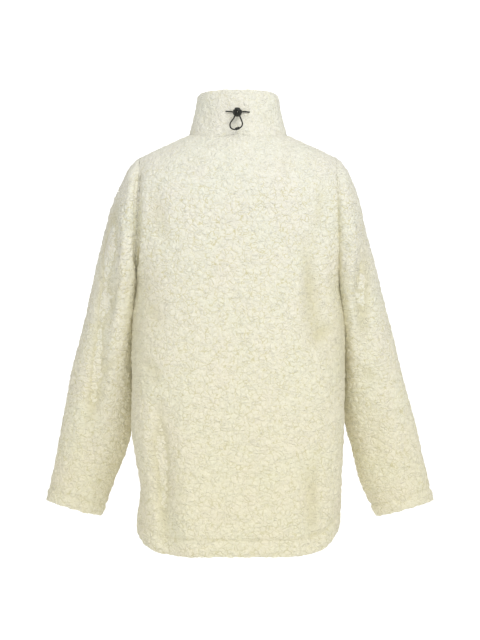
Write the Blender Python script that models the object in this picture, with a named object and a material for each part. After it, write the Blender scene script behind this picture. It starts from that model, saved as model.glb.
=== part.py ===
"""Fleece zip-up jacket, hollow as if worn, at its real size in metres.

+Z is up and the wearer faces -Y, so the back panel is at +Y and the wearer's left is at +X.
The origin lies inside the neck, level with the collar seam at the shoulders.
Every cloth piece is a wall with an outer and an inner face. The pieces meet along shared
seam lines, each drawn back by half of SEAM_GAP.
"""

import math
from collections import namedtuple

import bmesh
import bpy
import numpy as np
from mathutils import Matrix, Vector

LEFT, RIGHT = 1, -1
BACK, FRONT = 1, -1

# Cloth
BODY_WALL = 0.005
COLLAR_WALL = 0.007
SEAM_GAP = 0.0004
EDGE_ROUND = 0.0018

# Grid of the cloth: rows run round the body and columns run up it
ARMHOLE_ROWS = 11
LOWER_ROWS = 19
HALF_COLUMNS = 10
NECK_COLUMNS = 6
COLLAR_ROWS = 4
SLEEVE_RINGS = 26
FINE = 90

# Body
PIT_Z = -0.270
HEM_BACK_Z = -0.738
HEM_FRONT_Z = -0.730
HEM_SIDE_LEFT_Z = -0.705
HEM_SIDE_RIGHT_Z = -0.695
HEM_CORNER_POWER = 8.0
FRONT_EDGE_X = 0.0070

# Shoulder and neck
SHOULDER_X = 0.1745
SHOULDER_SLOPE = 0.4535
SHOULDER_ZERO_X = 0.098
NECK_HALF_WIDTH = 0.0885
NECK_BACK_Y = 0.082
NECK_FRONT_Y = 0.088
ROUND_START_BACK_Z = -0.150
ROUND_START_FRONT_Z = -0.240
ROUND_POWER_BACK = 2.4
ROUND_POWER_FRONT = 1.9

# Collar
COLLAR_TOP_HALF_WIDTH = 0.0735
COLLAR_TOP_BACK_Y = 0.068
COLLAR_TOP_FRONT_Y = 0.084
COLLAR_TOP_BACK_Z = 0.078
COLLAR_TOP_FRONT_Z = 0.040
COLLAR_TOP_POWER = 2.2
COLLAR_CURVE = 1.35
NECK_MITRE = 0.65
NECK_MITRE_REACH = 1.1

# Body sections. Above the pit the half widths are those of the body as if it had no armhole.
BodySection = namedtuple("BodySection", "z left right back front seam_y back_power front_power")
BODY = (
    BodySection(-0.760, 0.1800, 0.1790, 0.130, 0.142, 0.016, 2.5, 2.3),
    BodySection(-0.700, 0.1800, 0.1815, 0.131, 0.143, 0.018, 2.5, 2.2),
    BodySection(-0.660, 0.1775, 0.1840, 0.131, 0.143, 0.020, 2.5, 2.1),
    BodySection(-0.620, 0.1750, 0.1850, 0.131, 0.142, 0.024, 2.5, 2.0),
    BodySection(-0.580, 0.1820, 0.1870, 0.130, 0.141, 0.028, 2.5, 2.0),
    BodySection(-0.530, 0.1895, 0.1895, 0.129, 0.140, 0.030, 2.5, 2.0),
    BodySection(-0.460, 0.1895, 0.1900, 0.127, 0.139, 0.030, 2.5, 2.0),
    BodySection(-0.400, 0.1885, 0.1890, 0.124, 0.137, 0.024, 2.5, 2.0),
    BodySection(-0.340, 0.1860, 0.1865, 0.121, 0.134, 0.010, 2.5, 2.2),
    BodySection(-0.300, 0.1840, 0.1840, 0.119, 0.131, 0.003, 2.5, 2.4),
    BodySection(-0.270, 0.1820, 0.1820, 0.118, 0.129, 0.000, 2.5, 2.4),
    BodySection(-0.245, 0.1870, 0.1870, 0.117, 0.127, 0.000, 2.5, 2.4),
    BodySection(-0.215, 0.1960, 0.1960, 0.116, 0.124, 0.000, 2.5, 2.4),
    BodySection(-0.150, 0.2060, 0.2060, 0.114, 0.117, 0.000, 2.5, 2.4),
    BodySection(0.060, 0.2060, 0.2060, 0.114, 0.108, 0.000, 2.5, 2.4),
)

# Sleeve sections: where the outer and the inner line of the sleeve are, and how deep it is there.
# The armhole comes before the first row.
SleeveSection = namedtuple(
    "SleeveSection", "outer_z outer_left outer_right inner_z inner_left inner_right mid_y half_depth"
)
SLEEVE = (
    SleeveSection(-0.047, 0.1900, 0.1885, -0.2790, 0.1850, 0.1850, 0.002, 0.0755),
    SleeveSection(-0.066, 0.2005, 0.1995, -0.2870, 0.1860, 0.1860, 0.001, 0.0775),
    SleeveSection(-0.090, 0.2135, 0.2105, -0.2960, 0.1866, 0.1866, 0.000, 0.0790),
    SleeveSection(-0.122, 0.2275, 0.2205, -0.3080, 0.1872, 0.1872, -0.003, 0.0790),
    SleeveSection(-0.165, 0.2395, 0.2300, -0.3260, 0.1878, 0.1880, -0.007, 0.0770),
    SleeveSection(-0.225, 0.2545, 0.2470, -0.3520, 0.1880, 0.1885, -0.013, 0.0720),
    SleeveSection(-0.290, 0.2690, 0.2630, -0.3860, 0.1870, 0.1880, -0.021, 0.0660),
    SleeveSection(-0.355, 0.2850, 0.2810, -0.4260, 0.1865, 0.1880, -0.030, 0.0600),
    SleeveSection(-0.420, 0.3023, 0.2970, -0.4700, 0.1870, 0.1890, -0.040, 0.0545),
    SleeveSection(-0.480, 0.3143, 0.3143, -0.5160, 0.1915, 0.1945, -0.050, 0.0505),
    SleeveSection(-0.538, 0.3260, 0.3295, -0.5660, 0.2032, 0.2085, -0.060, 0.0470),
    SleeveSection(-0.596, 0.3376, 0.3430, -0.6220, 0.2262, 0.2230, -0.0695, 0.0440),
    SleeveSection(-0.655, 0.3511, 0.3583, -0.6845, 0.2485, 0.2520, -0.079, 0.0415),
)
ARMHOLE_FADE = 0.07
SLEEVE_MEAN_RADIUS = 0.062
BODY_AXIS = np.array([0.0, 0.0, -0.3])

# Soft troughs in the body cloth, each along a line from (x1, z1) to (x2, z2); a ridge has a minus depth
BodyFold = namedtuple("BodyFold", "face x1 z1 x2 z2 width depth")
BODY_FOLDS = (
    BodyFold(BACK, -0.128, -0.190, -0.134, -0.350, 0.022, 0.006),
    BodyFold(BACK, -0.100, -0.230, -0.104, -0.380, 0.022, -0.003),
    BodyFold(BACK, 0.132, -0.480, 0.122, -0.740, 0.024, 0.006),
    BodyFold(BACK, 0.085, -0.560, 0.080, -0.740, 0.026, -0.004),
    BodyFold(BACK, -0.110, -0.560, -0.120, -0.740, 0.024, 0.004),
    BodyFold(FRONT, 0.110, -0.300, 0.085, -0.700, 0.026, 0.006),
    BodyFold(FRONT, -0.120, -0.340, -0.092, -0.720, 0.024, 0.005),
    BodyFold(FRONT, 0.140, -0.130, 0.120, -0.260, 0.022, 0.005),
    BodyFold(FRONT, -0.142, -0.120, -0.118, -0.250, 0.022, 0.005),
)

# Soft troughs in the sleeves: s runs from the armhole (0) to the cuff (1), and the angle runs
# from the outer line (0) over the back (90) to the inner line (180) and the front (270)
SleeveFold = namedtuple("SleeveFold", "side s1 angle1 s2 angle2 width depth")
SLEEVE_FOLDS = (
    SleeveFold(LEFT, 0.16, 68, 0.86, 88, 0.022, 0.008),
    SleeveFold(LEFT, 0.50, 300, 0.58, 215, 0.018, 0.005),
    SleeveFold(LEFT, 0.30, 250, 0.72, 262, 0.022, 0.005),
    SleeveFold(RIGHT, 0.24, 80, 0.52, 92, 0.020, 0.005),
    SleeveFold(RIGHT, 0.52, 305, 0.60, 220, 0.018, 0.005),
    SleeveFold(RIGHT, 0.34, 258, 0.80, 266, 0.022, 0.006),
)

# Zip, as distances from its middle line and from the middle of the tapes' thickness
TAPE_WALL = 0.001
TAPE_BEHIND = 0.0005
TAPE_NEAR_X = 0.0032
TAPE_FAR_X = 0.0175
TAPE_BOX_X = 0.0046
ZIP_LEVEL_X = 0.005
TAPE_TOP_DROP = 0.006
CHAIN_HALF_WIDTH = 0.0029
CHAIN_WALL = 0.0024
BOX_HALF_WIDTH = 0.0043
BOX_LENGTH = 0.0105
BOX_WALL = 0.004
SLIDER_DROP = 0.0165
PULL_AXIS_U = -0.0019
PULL_AXIS_W = 0.00395

# Drawcord and cord lock; the routes run from the collar through the lock to the cord end, in
# millimetres from the lock's middle
CORD_DIAMETER = 0.0024
CORD_STEP = 0.0036
LOCK_AT = (0.001, 0.0865, 0.0381)
ROUTE_LEFT = (
    (20.5, -15.3, 2.8), (17.5, -13.7, 2.6), (14.0, -12.7, 2.3), (10.5, -12.1, 1.9), (7.0, -11.6, 1.4),
    (4.4, -10.6, 1.1), (2.4, -8.4, 0.9), (1.5, -5.0, 0.8), (1.45, 0.0, 0.8), (1.45, 5.0, 0.8),
    (1.6, 9.0, 0.6), (2.2, 12.0, -0.8), (3.1, 13.6, -3.9), (4.2, 13.4, -7.4), (6.0, 12.0, -11.0),
    (9.2, 9.3, -15.5), (12.2, 6.8, -19.5), (13.0, 4.9, -23.5), (11.9, 4.0, -27.3), (9.0, 3.6, -29.8),
    (5.0, 3.4, -30.9),
)
ROUTE_RIGHT = (
    (-21.6, -14.4, 1.4), (-18.5, -13.0, 1.5), (-15.0, -12.3, 1.9), (-11.5, -11.9, 2.1),
    (-8.0, -11.6, 1.8), (-5.2, -10.8, 1.3), (-2.9, -8.7, 0.9), (-1.6, -5.0, 0.8), (-1.45, 0.0, 0.8),
    (-1.45, 5.0, 0.8), (-1.6, 9.0, 0.6), (-2.2, 12.0, -0.8), (-3.0, 13.4, -3.9), (-4.0, 13.1, -7.6),
    (-5.6, 11.6, -11.8), (-7.4, 9.4, -15.8), (-8.7, 7.4, -19.6), (-8.6, 5.6, -23.0),
    (-7.0, 4.4, -25.9), (-4.9, 3.8, -27.5),
)
CORD_END_AT = (0.0, 3.4, -29.2)
CORD_END_LENGTH = 0.009
CORD_END_RADIUS = 0.0025
CORD_END_TILT = 20.0

# How far the armhole seam is drawn in
CREASE = {(LEFT, BACK): 0.009, (RIGHT, BACK): 0.005, (LEFT, FRONT): 0.005, (RIGHT, FRONT): 0.005}


def clear_scene():
    for obj in list(bpy.data.objects):
        bpy.data.objects.remove(obj, do_unlink=True)


def material(name, color, roughness, metallic=0.0):
    made = bpy.data.materials.new(name)
    made.use_nodes = True
    shader = made.node_tree.nodes["Principled BSDF"]
    shader.inputs["Base Color"].default_value = (*color, 1.0)
    shader.inputs["Roughness"].default_value = roughness
    shader.inputs["Metallic"].default_value = metallic
    return made


def unit(vector):
    """The vector, or each row of an array of them, at length 1."""
    vector = np.asarray(vector, float)
    return vector / np.maximum(np.linalg.norm(vector, axis=-1, keepdims=True), 1e-12)


def smooth_read(at, known_at, known):
    """Reads a smooth curve through the known values; known_at goes up."""
    at = np.clip(np.asarray(at, float), known_at[0], known_at[-1])
    slopes = np.gradient(known, known_at)
    i = np.clip(np.searchsorted(known_at, at) - 1, 0, len(known_at) - 2)
    step = known_at[i + 1] - known_at[i]
    t = (at - known_at[i]) / step
    return (
        (2 * t**3 - 3 * t**2 + 1) * known[i]
        + (t**3 - 2 * t**2 + t) * step * slopes[i]
        + (3 * t**2 - 2 * t**3) * known[i + 1]
        + (t**3 - t**2) * step * slopes[i + 1]
    )


def body_size(name, z):
    """One column of the body's sections, read at the heights z."""
    heights = np.array([row.z for row in BODY])
    return smooth_read(z, heights, np.array([getattr(row, name) for row in BODY]))


def half_width(side, z):
    return body_size("left" if side == LEFT else "right", z)


def lengths_along(points):
    steps = np.linalg.norm(np.diff(points, axis=0), axis=1)
    return np.concatenate([[0.0], np.cumsum(steps)])


def points_at(points, fractions):
    """Points at these fractions of a polyline's length."""
    along = lengths_along(points)
    wanted = np.asarray(fractions) * along[-1]
    return np.stack([np.interp(wanted, along, points[:, k]) for k in range(3)], axis=1)


def ridge_z(x):
    """Height of the shoulder line over the half width x, carried on past the neck."""
    return (SHOULDER_ZERO_X - x) * SHOULDER_SLOPE


def seam_x(side, z):
    """Where the armhole seam runs: from the body's edge at the pit to the shoulder's corner."""
    share = (z - PIT_Z) / (ridge_z(SHOULDER_X) - PIT_Z)
    return half_width(side, PIT_Z) * (1 - share) + SHOULDER_X * share


def seam_y(z):
    """How far back the side seam runs; it reaches the armhole on the shoulder line's own plane."""
    return np.where(z < PIT_Z, body_size("seam_y", z), 0.0)


def hem_z(face, x, side, z):
    """The hem, which curves up into the side seams as a shirt tail does."""
    middle = HEM_BACK_Z if face == BACK else HEM_FRONT_Z
    end = HEM_SIDE_LEFT_Z if side == LEFT else HEM_SIDE_RIGHT_Z
    share = np.abs(x) / half_width(side, z)
    return middle + (end - middle) * np.clip(share, 0, 1) ** HEM_CORNER_POWER


def body_depth(face, side, x, z):
    """Distance from the side seam's plane to the outer face of the body, with no shoulder rounding."""
    name = "back" if face == BACK else "front"
    reach = body_size(name, z) - face * seam_y(z)
    power = body_size(name + "_power", z)
    share = np.clip(np.abs(x) / half_width(side, z), 0, 1)
    return reach * (1 - share**power) ** (1 / power)


def rounding_start(face):
    return ROUND_START_BACK_Z if face == BACK else ROUND_START_FRONT_Z


def rounding_power(face):
    return ROUND_POWER_BACK if face == BACK else ROUND_POWER_FRONT


def upper_surface(face, side, x, z):
    """Points of the outer face above the pit, where it rounds over to the shoulder line."""
    start = rounding_start(face)
    power = rounding_power(face)
    share = np.clip((z - start) / (ridge_z(x) - start), 0, 1)
    depth = body_depth(face, side, x, z) * (1 - share**power) ** (1 / power)
    return np.stack([side * x, face * depth, z], axis=1)


def neck_line(face, side, angles):
    """The neck seam from the centre (angle 0) to the shoulder (90 degrees), on the upper surface."""
    x = NECK_HALF_WIDTH * np.sin(angles)
    y = (NECK_BACK_Y if face == BACK else NECK_FRONT_Y) * np.cos(angles)
    start = rounding_start(face)
    power = rounding_power(face)
    share = np.clip(y / body_depth(face, side, x, ridge_z(x)), 0, 1)
    z = start + (ridge_z(x) - start) * (1 - share**power) ** (1 / power)
    return np.stack([side * x, face * y, z], axis=1)


def top_z(face, side, x):
    """Height of a panel's top edge over the half width x: the neck, then the shoulder line."""
    fine = neck_line(face, side, np.linspace(0, math.pi / 2, FINE))
    neck = np.interp(x, np.abs(fine[:, 0]), fine[:, 2])
    return np.where(x < NECK_HALF_WIDTH, neck, ridge_z(x))


def upper_rows(face, side):
    """Fine rows of the outer face from the pit to the top, evenly spaced up each line of the cloth."""
    lines = []
    for share in np.linspace(0, 1, FINE):
        # The line's own heights crowd towards the top, where the cloth turns over the shoulder.
        climb = np.sin(np.linspace(0, math.pi / 2, 6 * FINE))
        x = share * seam_x(side, PIT_Z) * np.ones_like(climb)
        for _ in range(8):
            z = PIT_Z + (top_z(face, side, x) - PIT_Z) * climb
            x = share * seam_x(side, z)
        lines.append(points_at(upper_surface(face, side, x, z), np.linspace(0, 1, ARMHOLE_ROWS + 1)))
    return np.array(lines).transpose(1, 0, 2)


def lower_row(face, side, share):
    """A fine row at this share of the way from the hem up to the pit."""
    angles = np.linspace(0, math.pi / 2, 3 * FINE)
    middle = HEM_BACK_Z if face == BACK else HEM_FRONT_Z
    z = np.full_like(angles, middle + (PIT_Z - middle) * share)
    for _ in range(6):
        power = body_size("back_power" if face == BACK else "front_power", z)
        x = half_width(side, z) * np.sin(angles) ** (2 / power)
        bottom = hem_z(face, x, side, z)
        z = bottom + (PIT_Z - bottom) * share
    depth = body_depth(face, side, x, z)
    depth[-1] = 0.0
    return np.stack([side * x, seam_y(z) + face * depth, z], axis=1)


def fine_rows(face, side):
    """All fine rows from the hem to the top, each from the centre line to the seam at the side."""
    rows = [lower_row(face, side, n / LOWER_ROWS) for n in range(LOWER_ROWS)]
    rows += list(upper_rows(face, side))
    return rows


def start_at(points, x):
    """The polyline from the half width x outwards."""
    first = int(np.searchsorted(np.abs(points[:, 0]), x, side="right"))
    a, b = points[first - 1], points[first]
    t = (x - abs(a[0])) / (abs(b[0]) - abs(a[0]))
    return np.vstack([a + (b - a) * t, points[first:]])


def column_fractions(points):
    """Even columns, with the neck's corner on a column of its own along a top row."""
    along = lengths_along(points)
    corner = np.interp(NECK_HALF_WIDTH, np.abs(points[:, 0]), along) / along[-1]
    neck = np.linspace(0, corner, NECK_COLUMNS + 1)
    shoulder = np.linspace(corner, 1, HALF_COLUMNS - NECK_COLUMNS + 1)
    return np.concatenate([neck, shoulder[1:]])


def half_panel(face, side, start_x):
    """Grid of outer points [row, column] from the line x = start_x to the side seam and armhole."""
    rows = []
    fine = fine_rows(face, side)
    even = np.linspace(0, 1, HALF_COLUMNS + 1)
    for number, points in enumerate(fine):
        if start_x:
            points = start_at(points, start_x)
        if number == len(fine) - 1:
            points = exact_top_row(face, side, start_x)
        share = np.clip((number - LOWER_ROWS) / ARMHOLE_ROWS, 0, 1) ** 2
        top = exact_top_row(face, side, start_x)
        fractions = even * (1 - share) + column_fractions(top) * share
        rows.append(points_at(points, fractions))
    return np.array(rows)


def exact_top_row(face, side, start_x):
    """The neck seam and the shoulder seam as one fine polyline with a true corner."""
    start = math.asin(start_x / NECK_HALF_WIDTH)
    neck = neck_line(face, side, np.linspace(start, math.pi / 2, 4 * FINE))
    neck[-1] = (side * NECK_HALF_WIDTH, 0.0, ridge_z(NECK_HALF_WIDTH))
    x = np.linspace(NECK_HALF_WIDTH, SHOULDER_X, FINE)[1:]
    shoulder = np.stack([side * x, np.zeros_like(x), ridge_z(x)], axis=1)
    return np.vstack([neck, shoulder])


def armhole_pull(face, side, count):
    """How far each armhole point is drawn in, from the pit to the shoulder's corner."""
    share = np.linspace(0, 1, count)
    pull = np.zeros((count, 3))
    pull[:, 1] = -face * CREASE[side, face] * np.sin(math.pi * share) ** 0.7
    return pull


def fold_push(face, points):
    """How far the body's folds push each point in, read from its place as seen from the front."""
    push = np.zeros(points.shape[:-1])
    place = points[..., [0, 2]]
    for fold in BODY_FOLDS:
        if fold.face != face:
            continue
        start, end = np.array([fold.x1, fold.z1]), np.array([fold.x2, fold.z2])
        run = end - start
        t = np.clip(((place - start) @ run) / (run @ run), 0, 1)
        away = np.linalg.norm(place - (start + t[..., None] * run), axis=-1)
        push += fold.depth * np.exp(-2 * (away / fold.width) ** 2)
    return push


def outward_normals(grid, away_from, wrap=False):
    """Unit normals of a grid of points, on the side that faces away from these points inside it."""
    if wrap:
        around = np.roll(grid, -1, axis=1) - np.roll(grid, 1, axis=1)
    else:
        around = np.gradient(grid, axis=1)
    normals = unit(np.cross(around, np.gradient(grid, axis=0)))
    facing = np.sum(normals * (grid - away_from))
    return normals if facing > 0 else -normals


SeamEdge = namedtuple("SeamEdge", "cells inside inward")


def draw_back(outer, inner, seams):
    """Sets the inner points along each seam and draws the seam back by half of its gap.

    Where two seams share a corner, the later one sets the inner point, and both draw it back.
    """
    shifts = {}
    for seam in seams:
        line = np.array([outer[cell] for cell in seam.cells])
        tangents = unit(np.gradient(line, axis=0))
        for cell, inside, tangent, inward in zip(seam.cells, seam.inside, tangents, seam.inward):
            inner[cell] = outer[cell] + inward
            across = unit(np.cross(tangent, inward))
            if across @ (outer[inside] - outer[cell]) < 0:
                across = -across
            shifts.setdefault(cell, []).append(across * SEAM_GAP / 2)
    for cell, found in shifts.items():
        outer[cell] = outer[cell] + sum(found)
        inner[cell] = inner[cell] + sum(found)


def edge_middles(outer, inner, rounded):
    """Points between the outer and the inner edge of each rounded side, pushed outwards."""
    rows, columns = outer.shape[:2]
    middles = {}
    for r in range(rows):
        for c in range(columns):
            pushes = []
            if "bottom" in rounded and r == 0:
                pushes.append(outer[r, c] - outer[r + 1, c])
            if "top" in rounded and r == rows - 1:
                pushes.append(outer[r, c] - outer[r - 1, c])
            if "start" in rounded and c == 0:
                pushes.append(outer[r, c] - outer[r, c + 1])
            if "end" in rounded and c == columns - 1:
                pushes.append(outer[r, c] - outer[r, c - 1])
            if pushes:
                push = unit(sum(unit(p) for p in pushes)) * EDGE_ROUND
                middles[r, c] = (outer[r, c] + inner[r, c]) / 2 + push
    return middles


def cloth_object(name, outer, inner, finish, wrap=False, rounded=()):
    """A closed wall between two grids of points. Rounded sides get a soft edge."""
    rows, columns = outer.shape[:2]
    bm = bmesh.new()
    out = [[bm.verts.new(p) for p in row] for row in outer]
    ins = [[bm.verts.new(p) for p in row] for row in inner]
    soft = {cell: bm.verts.new(p) for cell, p in edge_middles(outer, inner, rounded).items()}
    for r in range(rows - 1):
        for c in range(columns if wrap else columns - 1):
            d = (c + 1) % columns
            bm.faces.new((out[r][c], out[r][d], out[r + 1][d], out[r + 1][c]))
            bm.faces.new((ins[r][c], ins[r + 1][c], ins[r + 1][d], ins[r][d]))
    bottom = [(0, c) for c in range(columns)]
    top = [(rows - 1, c) for c in reversed(range(columns))]
    end = [(r, columns - 1) for r in range(rows)]
    start = [(r, 0) for r in reversed(range(rows))]
    loops = [bottom + bottom[:1], top + top[:1]] if wrap else [bottom + end[1:] + top[1:] + start[1:]]
    for loop in loops:
        for (ra, ca), (rb, cb) in zip(loop, loop[1:]):
            rim = [out[rb][cb], out[ra][ca], soft.get((ra, ca)), ins[ra][ca], ins[rb][cb], soft.get((rb, cb))]
            if rim[2] and rim[5]:
                bm.faces.new((rim[0], rim[1], rim[2], rim[5]))
                bm.faces.new((rim[5], rim[2], rim[3], rim[4]))
            else:
                bm.faces.new([vert for vert in rim if vert])
    return finished(bm, name, finish)


def finished(bm, name, finish, sharp_degrees=60):
    """Turns a closed bmesh into the named object, shaded smooth but for its sharp edges."""
    bmesh.ops.recalc_face_normals(bm, faces=bm.faces)
    mesh = bpy.data.meshes.new(name)
    bm.to_mesh(mesh)
    bm.free()
    mesh.shade_smooth()
    mesh.set_sharp_from_angle(angle=math.radians(sharp_degrees))
    mesh.materials.append(finish)
    obj = bpy.data.objects.new(name, mesh)
    bpy.context.collection.objects.link(obj)
    return obj


def side_inward(side, count):
    return [np.array([-side * BODY_WALL, 0, 0])] * count


def shoulder_inward(side, count):
    outward = unit([side * SHOULDER_SLOPE, 0, 1])
    return [-outward * BODY_WALL] * count


def armhole_inward(points):
    """Across the cloth's edge, towards the middle of the armhole, in the armhole's own plane."""
    along = np.gradient(points, axis=0)
    across = np.stack([np.zeros(len(points)), along[:, 2], -along[:, 1]], axis=1)
    across[0] = (0, 0, 1)
    across[-1] = (0, 0, -1)
    middle = np.array([0, 0, (points[0, 2] + points[-1, 2]) / 2])
    flat = points * (0, 1, 1)
    facing = np.sign(np.sum(across * (middle - flat), axis=1, keepdims=True))
    return unit(across * facing) * BODY_WALL


def neck_inward(points, wall):
    """Into the neck and a little down, between the slope of the body and that of the collar."""
    oval = np.where(points[:, 1] > 0, NECK_BACK_Y, NECK_FRONT_Y)
    level = np.stack([points[:, 0] / NECK_HALF_WIDTH**2, points[:, 1] / oval**2], axis=1)
    down = np.full((len(points), 1), NECK_MITRE)
    return -unit(np.hstack([unit(level), down])) * wall * NECK_MITRE_REACH


def half_seams(side, column_of, rows, armhole):
    """The seams of one half panel; column_of turns its own columns into those of the whole grid."""
    last = HALF_COLUMNS
    pit = LOWER_ROWS
    seams = []
    cells = [(r, column_of(last)) for r in range(pit + 1)]
    inside = [(r, column_of(last - 1)) for r in range(pit + 1)]
    seams.append(SeamEdge(cells, inside, side_inward(side, len(cells))))
    top = rows - 1
    cells = [(top, column_of(c)) for c in range(NECK_COLUMNS, last + 1)]
    inside = [(top - 1, column_of(c)) for c in range(NECK_COLUMNS, last + 1)]
    seams.append(SeamEdge(cells, inside, shoulder_inward(side, len(cells))))
    cells = [(r, column_of(last)) for r in range(pit, rows)]
    inside = [(r, column_of(last - 1)) for r in range(pit, rows)]
    seams.append(SeamEdge(cells, inside, armhole_inward(armhole)))
    return seams


def back_panel(halves, armholes, finish):
    """Both halves of the back, joined at the centre line."""
    outer = np.concatenate([halves[LEFT][:, ::-1], halves[RIGHT][:, 1:]], axis=1)
    rows = outer.shape[0]
    middle = HALF_COLUMNS
    outer = pushed_in(BACK, outer, [0, 2 * middle])
    inner = outer - BODY_WALL * outward_normals(outer, BODY_AXIS)
    seams = half_seams(LEFT, lambda c: middle - c, rows, armholes[LEFT, BACK])
    seams += half_seams(RIGHT, lambda c: middle + c, rows, armholes[RIGHT, BACK])
    columns = range(middle - NECK_COLUMNS, middle + NECK_COLUMNS + 1)
    cells = [(rows - 1, c) for c in columns]
    neck = np.array([outer[cell] for cell in cells])
    inside = [(rows - 2, c) for c in columns]
    seams.insert(4, SeamEdge(cells, inside, neck_inward(neck, BODY_WALL)))
    draw_back(outer, inner, seams)
    cloth_object("back", outer, inner, finish, rounded=("bottom",))


def front_panel(side, half, armhole, finish):
    """One front, from the zip to the side seam. Returns its grids for the zip tape."""
    rows = half.shape[0]
    outer = pushed_in(FRONT, half, [HALF_COLUMNS])
    inner = outer - BODY_WALL * outward_normals(outer, BODY_AXIS)
    seams = half_seams(side, lambda c: c, rows, armhole)
    cells = [(rows - 1, c) for c in range(NECK_COLUMNS + 1)]
    neck = np.array([outer[cell] for cell in cells])
    inside = [(rows - 2, c) for c in range(NECK_COLUMNS + 1)]
    seams.insert(2, SeamEdge(cells, inside, neck_inward(neck, BODY_WALL)))
    draw_back(outer, inner, seams)
    name = "front_left" if side == LEFT else "front_right"
    cloth_object(name, outer, inner, finish, rounded=("bottom", "start"))
    return outer, inner


def pushed_in(face, outer, seam_columns):
    """The panel with its folds, which fade out towards the seams and the neck."""
    rows, columns = outer.shape[:2]
    fade = np.ones((rows, columns))
    for seam in seam_columns:
        fade *= np.clip(np.abs(np.arange(columns) - seam) / 2, 0, 1)[None, :]
    fade *= np.clip((rows - 1 - np.arange(rows)) / 3, 0, 1)[:, None]
    push = fold_push(face, outer) * fade
    return outer - push[..., None] * outward_normals(outer, BODY_AXIS)


def collar(fronts, backs, finish):
    """The standing collar: a wall from the neck seam up to its rounded top edge."""
    top = -1
    n = NECK_COLUMNS
    base = np.vstack([
        fronts[LEFT][top, : n + 1],
        backs[LEFT][top, : n][::-1],
        backs[RIGHT][top, 1 : n + 1],
        fronts[RIGHT][top, : n][::-1],
    ])
    edge_angle = math.asin(FRONT_EDGE_X / COLLAR_TOP_HALF_WIDTH)
    front = np.linspace(edge_angle, math.pi / 2, n + 1)
    back = np.linspace(0, math.pi / 2, n + 1)
    turns = np.concatenate([math.pi - front, back[:n][::-1], -back[1:], front[:n][::-1] - math.pi])
    reach = np.where(np.cos(turns) > 0, COLLAR_TOP_BACK_Y, COLLAR_TOP_FRONT_Y)
    drop = ((1 - np.cos(turns)) / 2) ** COLLAR_TOP_POWER
    rim = np.stack([
        COLLAR_TOP_HALF_WIDTH * np.sin(turns),
        reach * np.cos(turns),
        COLLAR_TOP_BACK_Z - (COLLAR_TOP_BACK_Z - COLLAR_TOP_FRONT_Z) * drop,
    ], axis=1)
    rows = []
    for v in np.linspace(0, 1, COLLAR_ROWS + 1):
        across = 1 - (1 - v) ** COLLAR_CURVE
        rows.append(base + (rim - base) * np.array([across, across, v]))
    outer = np.array(rows)
    inner = outer - COLLAR_WALL * outward_normals(outer, BODY_AXIS)
    columns = range(outer.shape[1])
    seam = SeamEdge([(0, c) for c in columns], [(1, c) for c in columns], neck_inward(base, COLLAR_WALL))
    draw_back(outer, inner, [seam])
    cloth_object("collar", outer, inner, finish, rounded=("top", "start", "end"))
    return outer, inner


def sleeve_lines(side, armhole_depth):
    """The sleeve's named columns with the armhole as their first row, and the length to each row."""
    names = ("outer_left", "inner_left") if side == LEFT else ("outer_right", "inner_right")
    start = {
        "outer_x": SHOULDER_X,
        "outer_z": ridge_z(SHOULDER_X),
        "inner_x": float(half_width(side, PIT_Z)),
        "inner_z": PIT_Z,
        "mid_y": 0.0,
        "half_depth": armhole_depth,
    }
    lines = {
        "outer_x": [getattr(row, names[0]) for row in SLEEVE],
        "inner_x": [getattr(row, names[1]) for row in SLEEVE],
    }
    for name in ("outer_z", "inner_z", "mid_y", "half_depth"):
        lines[name] = [getattr(row, name) for row in SLEEVE]
    lines = {name: np.array([start[name], *values]) for name, values in lines.items()}
    outer = np.stack([lines["outer_x"], lines["outer_z"]], axis=1)
    return lines, lengths_along(outer)


def sleeve_oval(side, lines, lengths, at, angles):
    """The sleeve's section at a length along its outer line."""
    read = {name: float(smooth_read(at, lengths, values)) for name, values in lines.items()}
    outer = np.array([side * read["outer_x"], read["mid_y"], read["outer_z"]])
    inner = np.array([side * read["inner_x"], read["mid_y"], read["inner_z"]])
    deep = np.array([0, read["half_depth"], 0])
    cos, sin = np.cos(angles)[:, None], np.sin(angles)[:, None]
    return (outer + inner) / 2 + (outer - inner) / 2 * cos + deep * sin


def sleeve_push(side, s, angles, length):
    push = np.zeros(len(angles))
    for fold in SLEEVE_FOLDS:
        if fold.side != side:
            continue
        t = np.clip((s - fold.s1) / (fold.s2 - fold.s1), 0, 1)
        middle = math.radians(fold.angle1 + (fold.angle2 - fold.angle1) * t)
        along = (s - (fold.s1 + (fold.s2 - fold.s1) * t)) * length
        around = ((angles - middle + math.pi) % (2 * math.pi) - math.pi) * SLEEVE_MEAN_RADIUS
        push += fold.depth * np.exp(-2 * (along**2 + around**2) / fold.width**2)
    return push


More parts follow.
